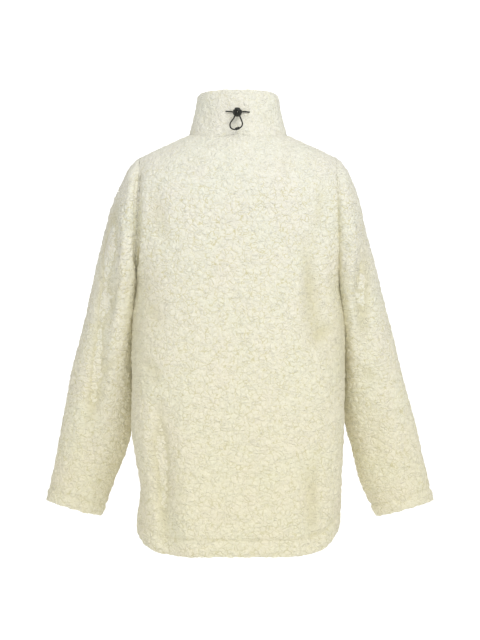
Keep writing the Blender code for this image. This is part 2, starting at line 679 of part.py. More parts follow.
def sleeve(side, smooth_armhole, creased_armhole, finish):
    """Rings from the armhole down to the cuff."""
    count = len(smooth_armhole)
    angles = np.arange(count) * 2 * math.pi / count
    depth = np.abs(smooth_armhole[:, 1]).max()
    lines, lengths = sleeve_lines(side, depth)
    differs = smooth_armhole - sleeve_oval(side, lines, lengths, 0.0, angles)
    rings = [creased_armhole]
    for s in np.linspace(0, 1, SLEEVE_RINGS + 1)[1:]:
        at = s * lengths[-1]
        ring = sleeve_oval(side, lines, lengths, at, angles)
        rings.append(ring + differs * math.exp(-((at / ARMHOLE_FADE) ** 2)))
    outer = np.array(rings)
    axis = outer.mean(axis=1, keepdims=True)
    normals = outward_normals(outer, axis, wrap=True)
    for number, s in enumerate(np.linspace(0, 1, SLEEVE_RINGS + 1)):
        if number:
            outer[number] -= normals[number] * sleeve_push(side, s, angles, lengths[-1])[:, None]
    inner = outer - BODY_WALL * outward_normals(outer, axis, wrap=True)
    half = count // 2
    inward = np.zeros((count, 3))
    inward[: half + 1] = armhole_inward(creased_armhole[: half + 1][::-1])[::-1]
    inward[half:] = armhole_inward(np.vstack([creased_armhole[half:], creased_armhole[:1]]))[:-1]
    wrapped = [(0, c % count) for c in range(-1, count + 1)]
    inside = [(1, c % count) for c in range(-1, count + 1)]
    inward = [inward[c % count] for c in range(-1, count + 1)]
    line = np.array([outer[cell] for cell in wrapped])
    tangents = unit(line[2:] - line[:-2])
    for cell, beyond, tangent, into in zip(wrapped[1:-1], inside[1:-1], tangents, inward[1:-1]):
        across = unit(np.cross(tangent, into))
        if across @ (outer[beyond] - outer[cell]) < 0:
            across = -across
        inner[cell] = outer[cell] + into + across * SEAM_GAP / 2
        outer[cell] = outer[cell] + across * SEAM_GAP / 2
    name = "sleeve_left" if side == LEFT else "sleeve_right"
    cloth_object(name, outer, inner, finish, wrap=True, rounded=("top",))


def build_cloth(fleece):
    halves = {}
    smooth = {}
    armholes = {}
    for face in (BACK, FRONT):
        for side in (LEFT, RIGHT):
            half = half_panel(face, side, 0.0 if face == BACK else FRONT_EDGE_X)
            edge = half[LOWER_ROWS:, -1]
            smooth[side, face] = edge.copy()
            edge += armhole_pull(face, side, len(edge))
            armholes[side, face] = edge.copy()
            halves[side, face] = half
    backs = {side: halves[side, BACK] for side in (LEFT, RIGHT)}
    fronts = {side: halves[side, FRONT] for side in (LEFT, RIGHT)}
    back_panel(backs, armholes, fleece)
    grids = {side: front_panel(side, fronts[side], armholes[side, FRONT], fleece) for side in (LEFT, RIGHT)}
    for side in (LEFT, RIGHT):
        rings = []
        for found in (smooth, armholes):
            rings.append(np.vstack([found[side, BACK][::-1], found[side, FRONT][1:-1]]))
        sleeve(side, *rings, fleece)
    return grids, collar(fronts, backs, fleece)


def zip_line(panel, above, column, next_column):
    """The zip tape's middle surface: for each row a near point, a step outwards and the way out."""
    rows = [(panel[r, 0], panel[r, 1]) for r in range(len(panel) - 1)]
    rows += [(above[r, column], above[r, next_column]) for r in range(len(above))]
    near = np.array([row[0] for row in rows])
    step = np.array([row[1] - row[0] for row in rows])
    step /= np.abs(step[:, :1])
    out = unit(np.cross(np.gradient(near, axis=0), step))
    out = np.where(out[:, 1:2] < 0, out, -out)
    middle = near - out * (TAPE_BEHIND + TAPE_WALL / 2)
    return middle, step, out


def cut_line(line, start, end):
    """The stretch of a zip line between two lengths along it."""
    along = lengths_along(line[0])
    at = np.unique(np.concatenate([[start], along[(along > start) & (along < end)], [end]]))
    return [np.stack([np.interp(at, along, values[:, k]) for k in range(3)], axis=1) for values in line]


def strip(name, sections, finish):
    """A closed bar through sections of four corners each."""
    bm = bmesh.new()
    rings = [[bm.verts.new(corner) for corner in section] for section in sections]
    for low, high in zip(rings, rings[1:]):
        for a in range(4):
            b = (a + 1) % 4
            bm.faces.new((low[a], low[b], high[b], high[a]))
    bm.faces.new(rings[0])
    bm.faces.new(rings[-1])
    return finished(bm, name, finish, 30)


def bar(name, line, half_width, wall, finish):
    """A bar along the zip's middle line."""
    across = np.array([half_width, 0, 0])
    sections = []
    for middle, out in zip(*line):
        near, far = middle + out * wall / 2, middle - out * wall / 2
        sections.append((near - across, near + across, far + across, far - across))
    strip(name, sections, finish)


def tape(name, line, finish):
    """One tape, notched at the bottom beside the retaining box."""
    total = lengths_along(line[0])[-1]
    below = cut_line(line, 0.0, BOX_LENGTH)
    above = cut_line(line, BOX_LENGTH, total - TAPE_TOP_DROP)
    sections = []
    for part, edge_x in ((below, TAPE_BOX_X), (above, TAPE_NEAR_X)):
        for middle, step, out in zip(*part):
            near = middle + step * (edge_x - abs(middle[0]))
            far = middle + step * (TAPE_FAR_X - abs(middle[0]))
            half = out * TAPE_WALL / 2
            sections.append((near + half, far + half, far - half, near - half))
    return strip(name, sections, finish)


def flat_box(bm, x, u, w):
    """A box between the sizes x, u and w, each a pair."""
    for vert in bmesh.ops.create_cube(bm, size=1.0)["verts"]:
        vert.co = (
            x[0] if vert.co.x < 0 else x[1],
            u[0] if vert.co.y < 0 else u[1],
            w[0] if vert.co.z < 0 else w[1],
        )


def joined(name, boxes, finish, frame):
    """Boxes in millimetres joined into one solid and set in the frame's place."""
    blocks = []
    for number, box in enumerate(boxes):
        bm = bmesh.new()
        flat_box(bm, *[tuple(value / 1000 for value in pair) for pair in box])
        made = finished(bm, name if number == 0 else name + "_joint", finish, 30)
        made.matrix_world = frame
        blocks.append(made)
    body = blocks[0]
    for other in blocks[1:]:
        join_or_cut(body, other, "UNION")
    return body


def join_or_cut(body, other, operation):
    """Applies one Boolean and removes the other object."""
    step = body.modifiers.new(operation.lower(), "BOOLEAN")
    step.operation = operation
    step.solver = "EXACT"
    step.object = other
    bpy.context.view_layer.update()
    shape = bpy.data.meshes.new_from_object(body.evaluated_get(bpy.context.evaluated_depsgraph_get()))
    body.modifiers.clear()
    body.data = shape
    bpy.data.objects.remove(other, do_unlink=True)


def build_zip(grids, collar_inner, black, metal):
    lines = {
        LEFT: zip_line(grids[LEFT][1], collar_inner, 0, 1),
        RIGHT: zip_line(grids[RIGHT][1], collar_inner, -1, -2),
    }
    tape("zip_tape_left", lines[LEFT], black)
    tape("zip_tape_right", lines[RIGHT], black)
    middles = []
    outs = []
    for side in (LEFT, RIGHT):
        middle, step, out = lines[side]
        middles.append(middle - step * (np.abs(middle[:, :1]) - ZIP_LEVEL_X))
        outs.append(out)
    centre = (middles[0] + middles[1]) / 2
    out = unit((outs[0] + outs[1]) * (0, 1, 1))
    centre[:, 0] = 0.0
    total = lengths_along(centre)[-1]
    slider_at = total - SLIDER_DROP
    chain = cut_line((centre, out), BOX_LENGTH + 0.0003, slider_at + 0.0012)
    bar("zip_chain", chain, CHAIN_HALF_WIDTH, CHAIN_WALL, black)
    box = cut_line((centre, out), 0.0, BOX_LENGTH)
    bar("zip_box", box, BOX_HALF_WIDTH, BOX_WALL, black)
    here = cut_line((centre, out), slider_at - 0.001, slider_at + 0.001)
    way = unit(here[1].mean(axis=0))
    up = unit(here[0][-1] - here[0][0])
    up = unit(up - way * (up @ way))
    place = here[0].mean(axis=0)
    frame = Matrix((Vector((1, 0, 0)), Vector(up), Vector(way))).transposed().to_4x4()
    frame.translation = Vector(place)
    slider_boxes = (
        ((-4.2, 4.2), (-6.5, 6.5), (1.5, 2.9)),
        ((-4.2, 4.2), (-6.5, 6.5), (-2.7, -1.5)),
        ((-1.2, 1.2), (1.5, 6.0), (-1.7, 1.7)),
        ((-1.1, 1.1), (3.0, 4.2), (2.7, 6.0)),
        ((-1.1, 1.1), (-4.2, -3.0), (2.7, 6.0)),
        ((-1.1, 1.1), (-4.2, 4.2), (5.0, 6.2)),
    )
    joined("zip_slider", slider_boxes, metal, frame)
    build_pull(frame, metal)


def build_pull(slider_frame, metal):
    """The tab, whose round bar runs through the slider's bridge and is the axis it swings on."""
    place = slider_frame @ Matrix.Translation((0.0, PULL_AXIS_U, PULL_AXIS_W))
    boxes = (
        ((-3.75, 3.75), (-30.0, -7.15), (-0.75, 0.75)),
        ((-3.75, -1.5), (-7.6, 0.75), (-0.75, 0.75)),
        ((1.5, 3.75), (-7.6, 0.75), (-0.75, 0.75)),
    )
    pull = joined("zip_pull", boxes, metal, place)
    axle = turned("pull_axle", ((0.0, -2.5), (0.7, -2.5), (0.7, 2.5), (0.0, 2.5)), metal, 16)
    axle.matrix_world = place @ Matrix.Rotation(math.radians(90), 4, "Y")
    join_or_cut(pull, axle, "UNION")


def smooth_route(points):
    """An even run of points on a smooth curve through the route's own points, in metres."""
    route = np.array(points) / 1000 + np.array(LOCK_AT)
    at = lengths_along(route)
    fine = np.linspace(0, at[-1], 600)
    curve = np.stack([smooth_read(fine, at, route[:, k]) for k in range(3)], axis=1)
    total = lengths_along(curve)[-1]
    count = int(round(total / CORD_STEP)) + 1
    return points_at(curve, np.linspace(0, 1, count))


def cord(name, points, finish):
    curve = bpy.data.curves.new(name, "CURVE")
    curve.dimensions = "3D"
    spline = curve.splines.new("POLY")
    spline.points.add(len(points) - 1)
    for point, co in zip(spline.points, points):
        point.co = (*co, 1.0)
    curve.bevel_depth = CORD_DIAMETER / 2
    curve.bevel_resolution = 2
    curve.use_fill_caps = True
    curve.materials.append(finish)
    bpy.context.collection.objects.link(bpy.data.objects.new(name, curve))


def turned(name, profile, finish, steps=24):
    """A solid turned about its upright axis from radius and height pairs in millimetres."""
    bm = bmesh.new()
    verts = [bm.verts.new((r / 1000, 0, z / 1000)) for r, z in profile]
    edges = [bm.edges.new(pair) for pair in zip(verts, verts[1:])]
    bmesh.ops.spin(
        bm, geom=verts + edges, cent=(0, 0, 0), axis=(0, 0, 1),
        angle=2 * math.pi, steps=steps, use_merge=True,
    )
    bmesh.ops.remove_doubles(bm, verts=bm.verts, dist=1e-6)
    made = finished(bm, name, finish, 40)
    made.location = LOCK_AT
    return made


def cutter(sections):
    """A cutting bar along Y through (y, half width, low z, high z) in millimetres."""
    bm = bmesh.new()
    rings = []
    for y, half, low, high in sections:
        corners = ((-half, low), (half, low), (half, high), (-half, high))
        rings.append([bm.verts.new((x / 1000, y / 1000, z / 1000)) for x, z in corners])
    for first, second in zip(rings, rings[1:]):
        for a in range(4):
            b = (a + 1) % 4
            bm.faces.new((first[a], first[b], second[b], second[a]))
    bm.faces.new(rings[0])
    bm.faces.new(rings[-1])
    made = finished(bm, "cutter", None, 30)
    made.location = LOCK_AT
    return made


def build_lock(plastic):
    """The ball-shaped lock: a barrel open at the top, and the button that stands in its bore."""
    barrel = turned("cord_lock_barrel", (
        (0.0, -8.0), (2.6, -8.0), (4.6, -6.85), (6.6, -4.95), (7.85, -2.5), (8.25, 0.0),
        (8.0, 2.1), (7.3, 3.9), (6.7, 4.4), (6.0, 4.2), (5.7, 3.7), (5.7, -5.4), (0.0, -5.4),
    ), plastic)
    hole = cutter((
        (-9.0, 4.3, -1.6, 3.2), (-5.2, 2.95, -0.7, 2.3), (5.2, 2.95, -0.7, 2.3), (9.0, 4.3, -1.6, 3.2),
    ))
    join_or_cut(barrel, hole, "DIFFERENCE")
    plunger = turned("cord_lock_plunger", (
        (0.0, -2.6), (5.0, -2.6), (5.4, -2.2), (5.4, 5.0), (5.0, 6.6), (3.9, 7.7), (2.0, 8.2), (0.0, 8.25),
    ), plastic)
    slot = cutter(((-7.0, 2.95, -0.7, 4.8), (7.0, 2.95, -0.7, 4.8)))
    join_or_cut(plunger, slot, "DIFFERENCE")


def build_cord_end(plastic):
    """The end cap that both cord ends go into: a short bar with domed ends."""
    half = CORD_END_LENGTH * 500
    radius = CORD_END_RADIUS * 1000
    profile = [(0.0, -half)]
    for turn in (25, 50, 72, 90):
        angle = math.radians(turn)
        profile.append((radius * math.sin(angle), -half + 1.4 - 1.4 * math.cos(angle)))
    profile += [(r, -z) for r, z in reversed(profile)]
    made = turned("cord_end", profile, plastic, 16)
    made.rotation_euler = (0.0, math.radians(90 + CORD_END_TILT), 0.0)
    made.location = np.array(LOCK_AT) + np.array(CORD_END_AT) / 1000


def main():
    clear_scene()
    fleece = material("fleece", (0.82, 0.77, 0.60), 0.95)
    tape_black = material("zip_black", (0.02, 0.02, 0.018), 0.8)
    metal = material("zip_slider_black", (0.03, 0.03, 0.03), 0.4)
    plastic = material("lock_black", (0.03, 0.032, 0.025), 0.45)
    cord_black = material("cord_black", (0.02, 0.02, 0.015), 0.85)
    grids, (_, collar_inner) = build_cloth(fleece)
    build_zip(grids, collar_inner, tape_black, metal)
    cord("drawcord_left", smooth_route(ROUTE_LEFT), cord_black)
    cord("drawcord_right", smooth_route(ROUTE_RIGHT), cord_black)
    build_lock(plastic)
    build_cord_end(plastic)


main()
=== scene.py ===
import math
from collections import namedtuple

import bmesh
import bpy
import numpy as np
from mathutils import Matrix, Vector, kdtree


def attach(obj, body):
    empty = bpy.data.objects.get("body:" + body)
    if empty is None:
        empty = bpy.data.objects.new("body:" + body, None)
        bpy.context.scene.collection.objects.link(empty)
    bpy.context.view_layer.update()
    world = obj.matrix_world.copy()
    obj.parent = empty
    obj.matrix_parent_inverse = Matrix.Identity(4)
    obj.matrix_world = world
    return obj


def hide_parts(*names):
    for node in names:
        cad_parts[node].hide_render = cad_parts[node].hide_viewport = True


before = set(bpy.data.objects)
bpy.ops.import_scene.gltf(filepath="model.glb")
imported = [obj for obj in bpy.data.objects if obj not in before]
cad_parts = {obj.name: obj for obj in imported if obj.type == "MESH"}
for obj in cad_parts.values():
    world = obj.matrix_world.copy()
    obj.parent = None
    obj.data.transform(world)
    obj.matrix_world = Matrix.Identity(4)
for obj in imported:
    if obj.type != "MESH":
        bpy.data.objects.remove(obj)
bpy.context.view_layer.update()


# Camera: level with the middle of the jacket and 3.8 m behind its back, with a long lens that sees
# it as flat as the photograph does.
camera_data = bpy.data.cameras.new("camera")
camera_data.lens = 118.75
camera_data.sensor_width = 36.0
camera_data.clip_end = 60.0
camera = bpy.data.objects.new("camera", camera_data)
camera.location = (-0.0036, 3.8, -0.3276)
camera.rotation_euler = (math.radians(90), 0.0, math.radians(180))
bpy.context.scene.collection.objects.link(camera)
bpy.context.scene.camera = camera


# Studio: a plain pale floor that sweeps up into the backdrop, a white room, and four large soft
# lamps: two on the camera's side, one before the jacket and one on the backdrop.
FLOOR_Z = -1.45
FLOOR_HALF = 14.0
FLOOR_SWEEP = ((9.0, 0.0), (-3.5, 0.0), (-5.2, 0.25), (-6.4, 1.1), (-6.9, 2.4), (-7.0, 9.0))


def shader_of(made):
    return made.node_tree.nodes["Principled BSDF"]


def plain_material(name, color, roughness):
    """A new material with its colour and roughness set on the shader."""
    made = bpy.data.materials.new(name)
    made.use_nodes = True
    shader_of(made).inputs["Base Color"].default_value = (*color, 1)
    shader_of(made).inputs["Roughness"].default_value = roughness
    return made


floor_mesh = bmesh.new()
rail = [floor_mesh.verts.new((-FLOOR_HALF, y, z)) for y, z in FLOOR_SWEEP]
edges = [floor_mesh.edges.new(pair) for pair in zip(rail, rail[1:])]
swept = bmesh.ops.extrude_edge_only(floor_mesh, edges=edges)["geom"]
far_side = [part for part in swept if isinstance(part, bmesh.types.BMVert)]
bmesh.ops.translate(floor_mesh, verts=far_side, vec=(2 * FLOOR_HALF, 0, 0))
bmesh.ops.translate(floor_mesh, verts=floor_mesh.verts, vec=(0, 0, FLOOR_Z))
floor_data = bpy.data.meshes.new("floor")
floor_mesh.to_mesh(floor_data)
floor_mesh.free()
floor_data.shade_smooth()
floor_data.materials.append(plain_material("floor_white", (0.93, 0.93, 0.93), 0.9))
floor = bpy.data.objects.new("floor", floor_data)
bpy.context.scene.collection.objects.link(floor)

world = bpy.data.worlds.new("studio")
world.use_nodes = True
world.node_tree.nodes["Background"].inputs["Color"].default_value = (1.0, 1.0, 1.0, 1)
world.node_tree.nodes["Background"].inputs["Strength"].default_value = 0.62
bpy.context.scene.world = world
bpy.context.scene.view_settings.view_transform = "Standard"
bpy.context.scene.view_settings.look = "None"

Lamp = namedtuple("Lamp", "name place aim size power")
for lamp in (
    Lamp("key_lamp", (-1.5, 2.3, 2.3), (0.0, 0.0, -0.35), 1.3, 46.0),
    Lamp("fill_lamp", (0.7, 3.9, -0.6), (0.0, 0.0, -0.45), 1.6, 27.5),
    Lamp("front_lamp", (0.8, -3.0, 1.4), (0.0, 0.0, -0.35), 2.2, 6.0),
    Lamp("backdrop_lamp", (0.0, -3.2, 3.2), (0.0, -7.0, 0.0), 3.0, 150.0),
):
    light = bpy.data.lights.new(lamp.name, "AREA")
    light.size = lamp.size
    light.energy = lamp.power
    holder = bpy.data.objects.new(lamp.name, light)
    holder.location = lamp.place
    sight = Vector(lamp.aim) - Vector(lamp.place)
    holder.rotation_euler = sight.to_track_quat("-Z", "Y").to_euler()
    bpy.context.scene.collection.objects.link(holder)


# Drawcord: a round braided black cord, 2.4 mm thick, that runs in the collar. Its two ends come
# out at the back of the neck, go through the lock away from the cloth and meet in the end cap.
LOCK_AT = np.array((0.001, 0.0865, 0.0381))
CORD_DIAMETER = 0.0024
CORD_POINTS, FINE_POINTS = 110, 600
STRANDS = {
    "drawcord_left": (
        (20.5, -15.3, 2.8), (17.5, -13.7, 2.6), (14.0, -12.7, 2.3), (10.5, -12.1, 1.9),
        (7.0, -11.6, 1.2), (4.4, -10.6, 0.8), (2.4, -8.4, 0.45), (1.5, -5.0, 0.4), (1.45, 0.0, 0.4),
        (1.45, 5.0, 0.4), (1.6, 9.0, 0.3), (2.2, 12.0, -0.8), (3.1, 13.6, -3.9), (4.2, 13.4, -7.4),
        (6.0, 12.0, -11.0), (9.2, 9.3, -15.5), (12.2, 6.8, -19.5), (13.0, 4.9, -23.5),
        (11.9, 4.0, -27.3), (9.0, 3.6, -29.8), (5.0, 3.4, -30.9), (3.3, 3.4, -30.4),
    ),
    "drawcord_right": (
        (-21.6, -14.4, 1.4), (-18.5, -13.0, 1.5), (-15.0, -12.3, 1.9), (-11.5, -11.9, 2.1),
        (-8.0, -11.6, 1.6), (-5.2, -10.8, 0.9), (-2.9, -8.7, 0.45), (-1.6, -5.0, 0.4),
        (-1.45, 0.0, 0.4), (-1.45, 5.0, 0.4), (-1.6, 9.0, 0.3), (-2.2, 12.0, -0.8),
        (-3.0, 13.4, -3.9), (-4.0, 13.1, -7.6), (-5.6, 11.6, -11.8), (-7.4, 9.4, -15.8),
        (-8.7, 7.4, -19.6), (-8.6, 5.6, -23.0), (-7.0, 4.4, -25.9), (-4.9, 3.8, -27.5),
        (-3.5, 3.5, -27.9),
    ),
}


def node(made, kind, **settings):
    """A new shader node with these settings, of which some name an input and its value."""
    new = made.node_tree.nodes.new(kind)
    for name, value in settings.items():
        if hasattr(new, name):
            setattr(new, name, value)
        else:
            new.inputs[name].default_value = value
    return new


def wire(made, *links):
    """Joins nodes, with a source, its output, a target and its input in each link."""
    for source, output, target, entry in links:
        made.node_tree.links.new(source.outputs[output], target.inputs[entry])


def bump_from(made, pattern, output, **settings):
    """Raises the surface by a pattern that is laid in the piece's own coordinates."""
    coords = node(made, "ShaderNodeTexCoord")
    bump = node(made, "ShaderNodeBump", **settings)
    wire(
        made,
        (coords, "Object", pattern, "Vector"),
        (pattern, output, bump, "Height"),
        (bump, "Normal", shader_of(made), "Normal"),
    )


def along(points):
    """How far along the line each of its points lies."""
    return np.concatenate([[0], np.cumsum(np.linalg.norm(np.diff(points, axis=0), axis=1))])


def smooth_path(points, count):
    """Even points along a smooth curve through the given ones, and the curve's length."""
    at = along(points)
    slopes = np.gradient(points, at, axis=0)
    fine = np.linspace(0, at[-1], FINE_POINTS)
    i = np.clip(np.searchsorted(at, fine) - 1, 0, len(at) - 2)
    step = (at[i + 1] - at[i])[:, None]
    t = ((fine - at[i]) / (at[i + 1] - at[i]))[:, None]
    curve = (
        (2 * t**3 - 3 * t**2 + 1) * points[i]
        + (t**3 - 2 * t**2 + t) * step * slopes[i]
        + (3 * t**2 - 2 * t**3) * points[i + 1]
        + (t**3 - t**2) * step * slopes[i + 1]
    )
    run = along(curve)
    wanted = np.linspace(0, run[-1], count)
    return np.stack([np.interp(wanted, run, curve[:, k]) for k in range(3)], axis=1), run[-1]


braid_black = plain_material("braid_black", (0.008, 0.008, 0.006), 0.8)
braid = node(braid_black, "ShaderNodeTexVoronoi", Scale=1500.0)
bump_from(braid_black, braid, "Distance", Strength=0.5, Distance=0.0002, invert=True)

for cad, route in STRANDS.items():
    name = cad.replace("drawcord", "strand")
    points, length = smooth_path(np.array(route) / 1000 + LOCK_AT, CORD_POINTS)
    curve = bpy.data.curves.new(name, "CURVE")
    curve.dimensions = "3D"
    spline = curve.splines.new("POLY")
    spline.points.add(len(points) - 1)
    for knot, place in zip(spline.points, points):
        knot.co = (*place, 1.0)
    curve.bevel_depth = CORD_DIAMETER / 2
    curve.bevel_resolution = 3
    curve.use_fill_caps = True
    curve.materials.append(braid_black)
    strand = bpy.data.objects.new(name, curve)
    bpy.context.scene.collection.objects.link(strand)
    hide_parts(cad)
    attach(strand, "jacket")


# Cord lock: a ball moulded in black plastic, with a sprung button of the same in its top. Both
# strands go through the hole in its middle, and the button's spring pinches them there.
BARREL_PROFILE = (
    (0.0, -8.0), (2.2, -8.0), (2.9, -7.8), (4.6, -6.85), (5.7, -5.97), (6.6, -4.95), (7.35, -3.75),
    (7.85, -2.5), (8.15, -1.25), (8.25, 0.0), (8.2, 1.1), (8.0, 2.1), (7.7, 3.1), (7.3, 3.9),
    (6.95, 4.3), (6.6, 4.42), (6.2, 4.35), (5.85, 4.1), (5.7, 3.7), (5.7, -5.4), (0.0, -5.4),
)
BUTTON_PROFILE = (
    (0.0, -2.6), (5.0, -2.6), (5.4, -2.2), (5.4, 4.6), (5.3, 5.4), (5.0, 6.3), (4.5, 7.1),
    (3.7, 7.72), (2.6, 8.1), (1.4, 8.22), (0.0, 8.25),
)
HOLE_HALF_WIDTH, HOLE_FLOOR, BARREL_HOLE_TOP, BUTTON_HOLE_TOP = 2.95, -0.95, 2.0, 4.15
BARREL_HOLE_HALF, BUTTON_HOLE_HALF, HOLE_ROUND = 9.2, 7.0, 0.0009
MOUTH_FROM, MOUTH_WIDER, MOUTH_TALLER = 0.0055, 1.42, 1.5
SHARP_DEGREES = 40
lock_black = plain_material("lock_black", (0.010, 0.011, 0.008), 0.42)
grain = node(lock_black, "ShaderNodeTexNoise", Scale=900.0, Detail=2.0)
bump_from(lock_black, grain, "Fac", Strength=0.12, Distance=0.0002)


def piece_object(name, bm, material, sharp_degrees=SHARP_DEGREES):
    """The bmesh as a finished piece at the origin."""
    bmesh.ops.recalc_face_normals(bm, faces=bm.faces)
    mesh = bpy.data.meshes.new(name)
    bm.to_mesh(mesh)
    bm.free()
    mesh.shade_smooth()
    mesh.set_sharp_from_angle(angle=math.radians(sharp_degrees))
    mesh.materials.append(material)
    made = bpy.data.objects.new(name, mesh)
    bpy.context.scene.collection.objects.link(made)
    return made


def turned_piece(name, profile, material, place, steps=56):
    """Spins a profile of (radius, height) pairs in millimetres about its upright axis."""
    bm = bmesh.new()
    verts = [bm.verts.new((r / 1000, 0, z / 1000)) for r, z in profile]
    rail = verts + [bm.edges.new(pair) for pair in zip(verts, verts[1:])]
    bmesh.ops.spin(
        bm, geom=rail, cent=(0, 0, 0), axis=(0, 0, 1), angle=2 * math.pi, steps=steps,
        use_merge=True,
    )
    bmesh.ops.remove_doubles(bm, verts=bm.verts, dist=1e-6)
    bmesh.ops.transform(bm, matrix=place, verts=bm.verts)
    return piece_object(name, bm, material)


def modified_mesh(piece):
    """A new mesh of the object as its modifiers leave it."""
    bpy.context.view_layer.update()
    seen = piece.evaluated_get(bpy.context.evaluated_depsgraph_get())
    return bpy.data.meshes.new_from_object(seen)


def carve(piece, cutter):
    """Cuts the cutter's shape out of the piece and removes the cutter."""
    cut = piece.modifiers.new("carve", "BOOLEAN")
    cut.solver = "EXACT"
    cut.object = cutter
    carved = modified_mesh(piece)
    piece.modifiers.clear()
    piece.data = carved
    carved.set_sharp_from_angle(angle=math.radians(SHARP_DEGREES))
    bpy.data.objects.remove(cutter)


def bevel(bm, edges, offset, segments):
    bmesh.ops.bevel(
        bm, geom=edges, offset=offset, segments=segments, profile=0.5, affect="EDGES", material=-1,
    )


def tunnel(y_half, top, flare=False):
    """A cutter for the lock's hole, in millimetres, which flare makes wider at its two mouths."""
    bm = bmesh.new()
    bmesh.ops.create_cube(bm, size=1.0)
    for vert in bm.verts:
        vert.co = (
            math.copysign(HOLE_HALF_WIDTH, vert.co.x) / 1000,
            math.copysign(y_half, vert.co.y) / 1000,
            (top if vert.co.z > 0 else HOLE_FLOOR) / 1000,
        )

    def long_edges():
        return [e for e in bm.edges if abs(e.verts[0].co.y - e.verts[1].co.y) > y_half / 1000]

    bevel(bm, long_edges(), HOLE_ROUND, 3)
    if flare:
        middle = (HOLE_FLOOR + top) / 2000
        bmesh.ops.subdivide_edges(bm, edges=long_edges(), cuts=2)
        for vert in bm.verts:
            if abs(vert.co.y) > 0.9 * y_half / 1000:
                vert.co.x *= MOUTH_WIDER
                vert.co.z = middle + (vert.co.z - middle) * MOUTH_TALLER
            else:
                vert.co.y = math.copysign(MOUTH_FROM, vert.co.y)
    bmesh.ops.translate(bm, verts=bm.verts, vec=tuple(LOCK_AT))
    return piece_object("tunnel", bm, lock_black)


lock_place = Matrix.Translation(Vector(LOCK_AT))
lock_barrel = turned_piece("lock_barrel", BARREL_PROFILE, lock_black, lock_place)
carve(lock_barrel, tunnel(BARREL_HOLE_HALF, BARREL_HOLE_TOP, flare=True))
lock_button = turned_piece("lock_button", BUTTON_PROFILE, lock_black, lock_place)
carve(lock_button, tunnel(BUTTON_HOLE_HALF, BUTTON_HOLE_TOP))
for piece, cad, body in (
    (lock_barrel, "cord_lock_barrel", "jacket"), (lock_button, "cord_lock_plunger", "plunger"),
):
    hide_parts(cad)
    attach(piece, body)


# Cord end: a short cap with domed ends, moulded in the lock's black plastic. Both strands are
# pressed into it, so that they hang as one small loop.
END_AT = LOCK_AT + np.array((0.0, 3.4, -29.2)) / 1000
END_HALF, END_RADIUS, END_DOME, END_LEAN = 4.5, 2.5, 1.4, 110
end_profile = [(0.0, -END_HALF)]
for degrees in range(15, 91, 15):
    turn = math.radians(degrees)
    height = END_DOME - END_HALF - END_DOME * math.cos(turn)
    end_profile.append((END_RADIUS * math.sin(turn), height))
end_profile += [(r, -z) for r, z in reversed(end_profile)]
end_place = Matrix.Translation(Vector(END_AT)) @ Matrix.Rotation(math.radians(END_LEAN), 4, "Y")
end_cap = turned_piece("end_cap", end_profile, lock_black, end_place, steps=40)
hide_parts("cord_end")
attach(end_cap, "jacket")


# Back panel: one piece of high-pile sherpa fleece, knitted polyester with its pile on the outside,
# sewn to the fronts at the shoulders and sides. Its hem curves up into the side seams.
ClothSize = namedtuple("ClothSize", "width length area")
Crease = namedtuple("Crease", "face x1 z1 x2 z2 width depth")
LEFT_ARMHOLE = (
    Crease("back", 0.1762, -0.066, 0.1772, -0.160, 0.0040, 0.0052),
    Crease("back", 0.1770, -0.150, 0.1812, -0.255, 0.0040, 0.0056),
)
RIGHT_ARMHOLE = (
    Crease("back", -0.1764, -0.060, -0.1820, -0.190, 0.0060, -0.0016),
    Crease("back", -0.1800, -0.150, -0.1860, -0.280, 0.0060, -0.0030),
)
BACK_CREASES = (
    *LEFT_ARMHOLE,
    Crease("back", 0.150, -0.085, 0.128, -0.200, 0.0150, 0.0027),
    Crease("back", 0.160, -0.300, 0.132, -0.330, 0.0125, 0.0024),
    Crease("back", 0.165, -0.390, 0.128, -0.450, 0.0150, 0.0024),
    Crease("back", -0.150, -0.075, -0.134, -0.190, 0.0150, 0.0027),
    *RIGHT_ARMHOLE,
    Crease("back", -0.120, -0.190, -0.138, -0.370, 0.0175, 0.0037),
    Crease("back", -0.163, -0.330, -0.135, -0.365, 0.0125, 0.0024),
    Crease("back", 0.137, -0.480, 0.128, -0.712, 0.0150, 0.0064),
    Crease("back", 0.108, -0.560, 0.103, -0.712, 0.0200, -0.0020),
    Crease("back", -0.128, -0.570, -0.133, -0.715, 0.0160, 0.0044),
    Crease("back", -0.060, -0.030, -0.105, -0.070, 0.0175, 0.0017),
    Crease("back", 0.058, -0.032, 0.098, -0.066, 0.0175, 0.0017),
)
HEM_STITCH, HEM_BELOW = 0.027, -0.60
OUTSIDE, INSIDE, SEAM_EDGE, ROLLED_EDGE, UNTOLD = 0, 1, 2, 3, 4
FLAT_DEGREES, SHAPE_DEGREES, SEAM_DEGREES = 38, 75, 32
ROLLED_WALL, SEAM_WALL, SEAM_CLOSE = 0.0044, 0.0065, 0.00028
SEAM_REACH, RIM_REACH, ZIP_RIM = 0.03, 0.06, 0.014
WANDER, WANDER_SIZE, FADE_FROM, FADE_RUN, FACE_GAIN = 0.004, 0.05, 0.12, 0.76, 3
CURL_SIZE, CURL_BEND, BEND_SIZE = (0.0125, 0.0125, 0.0098), 0.0030, 0.024
CURL_HEIGHT, CURL_LEVEL, GAP_DEPTH, GAP_WIDTH = 0.0021, 0.58, 0.0006, 0.25
Lumps = namedtuple("Lumps", "height size channel")
PILE_LUMPS = (Lumps(0.0005, 0.040, 8), Lumps(0.0004, 0.011, 9))
Line = namedtuple("Line", "depth width")
SEAM_LINE, STITCH_LINE, TURN_UP = Line(0.0007, 0.0050), Line(0.0021, 0.0028), Line(0.0010, 0.0090)
SEAM_FLAT, SEAM_FLAT_WIDTH = 0.6, 0.0030
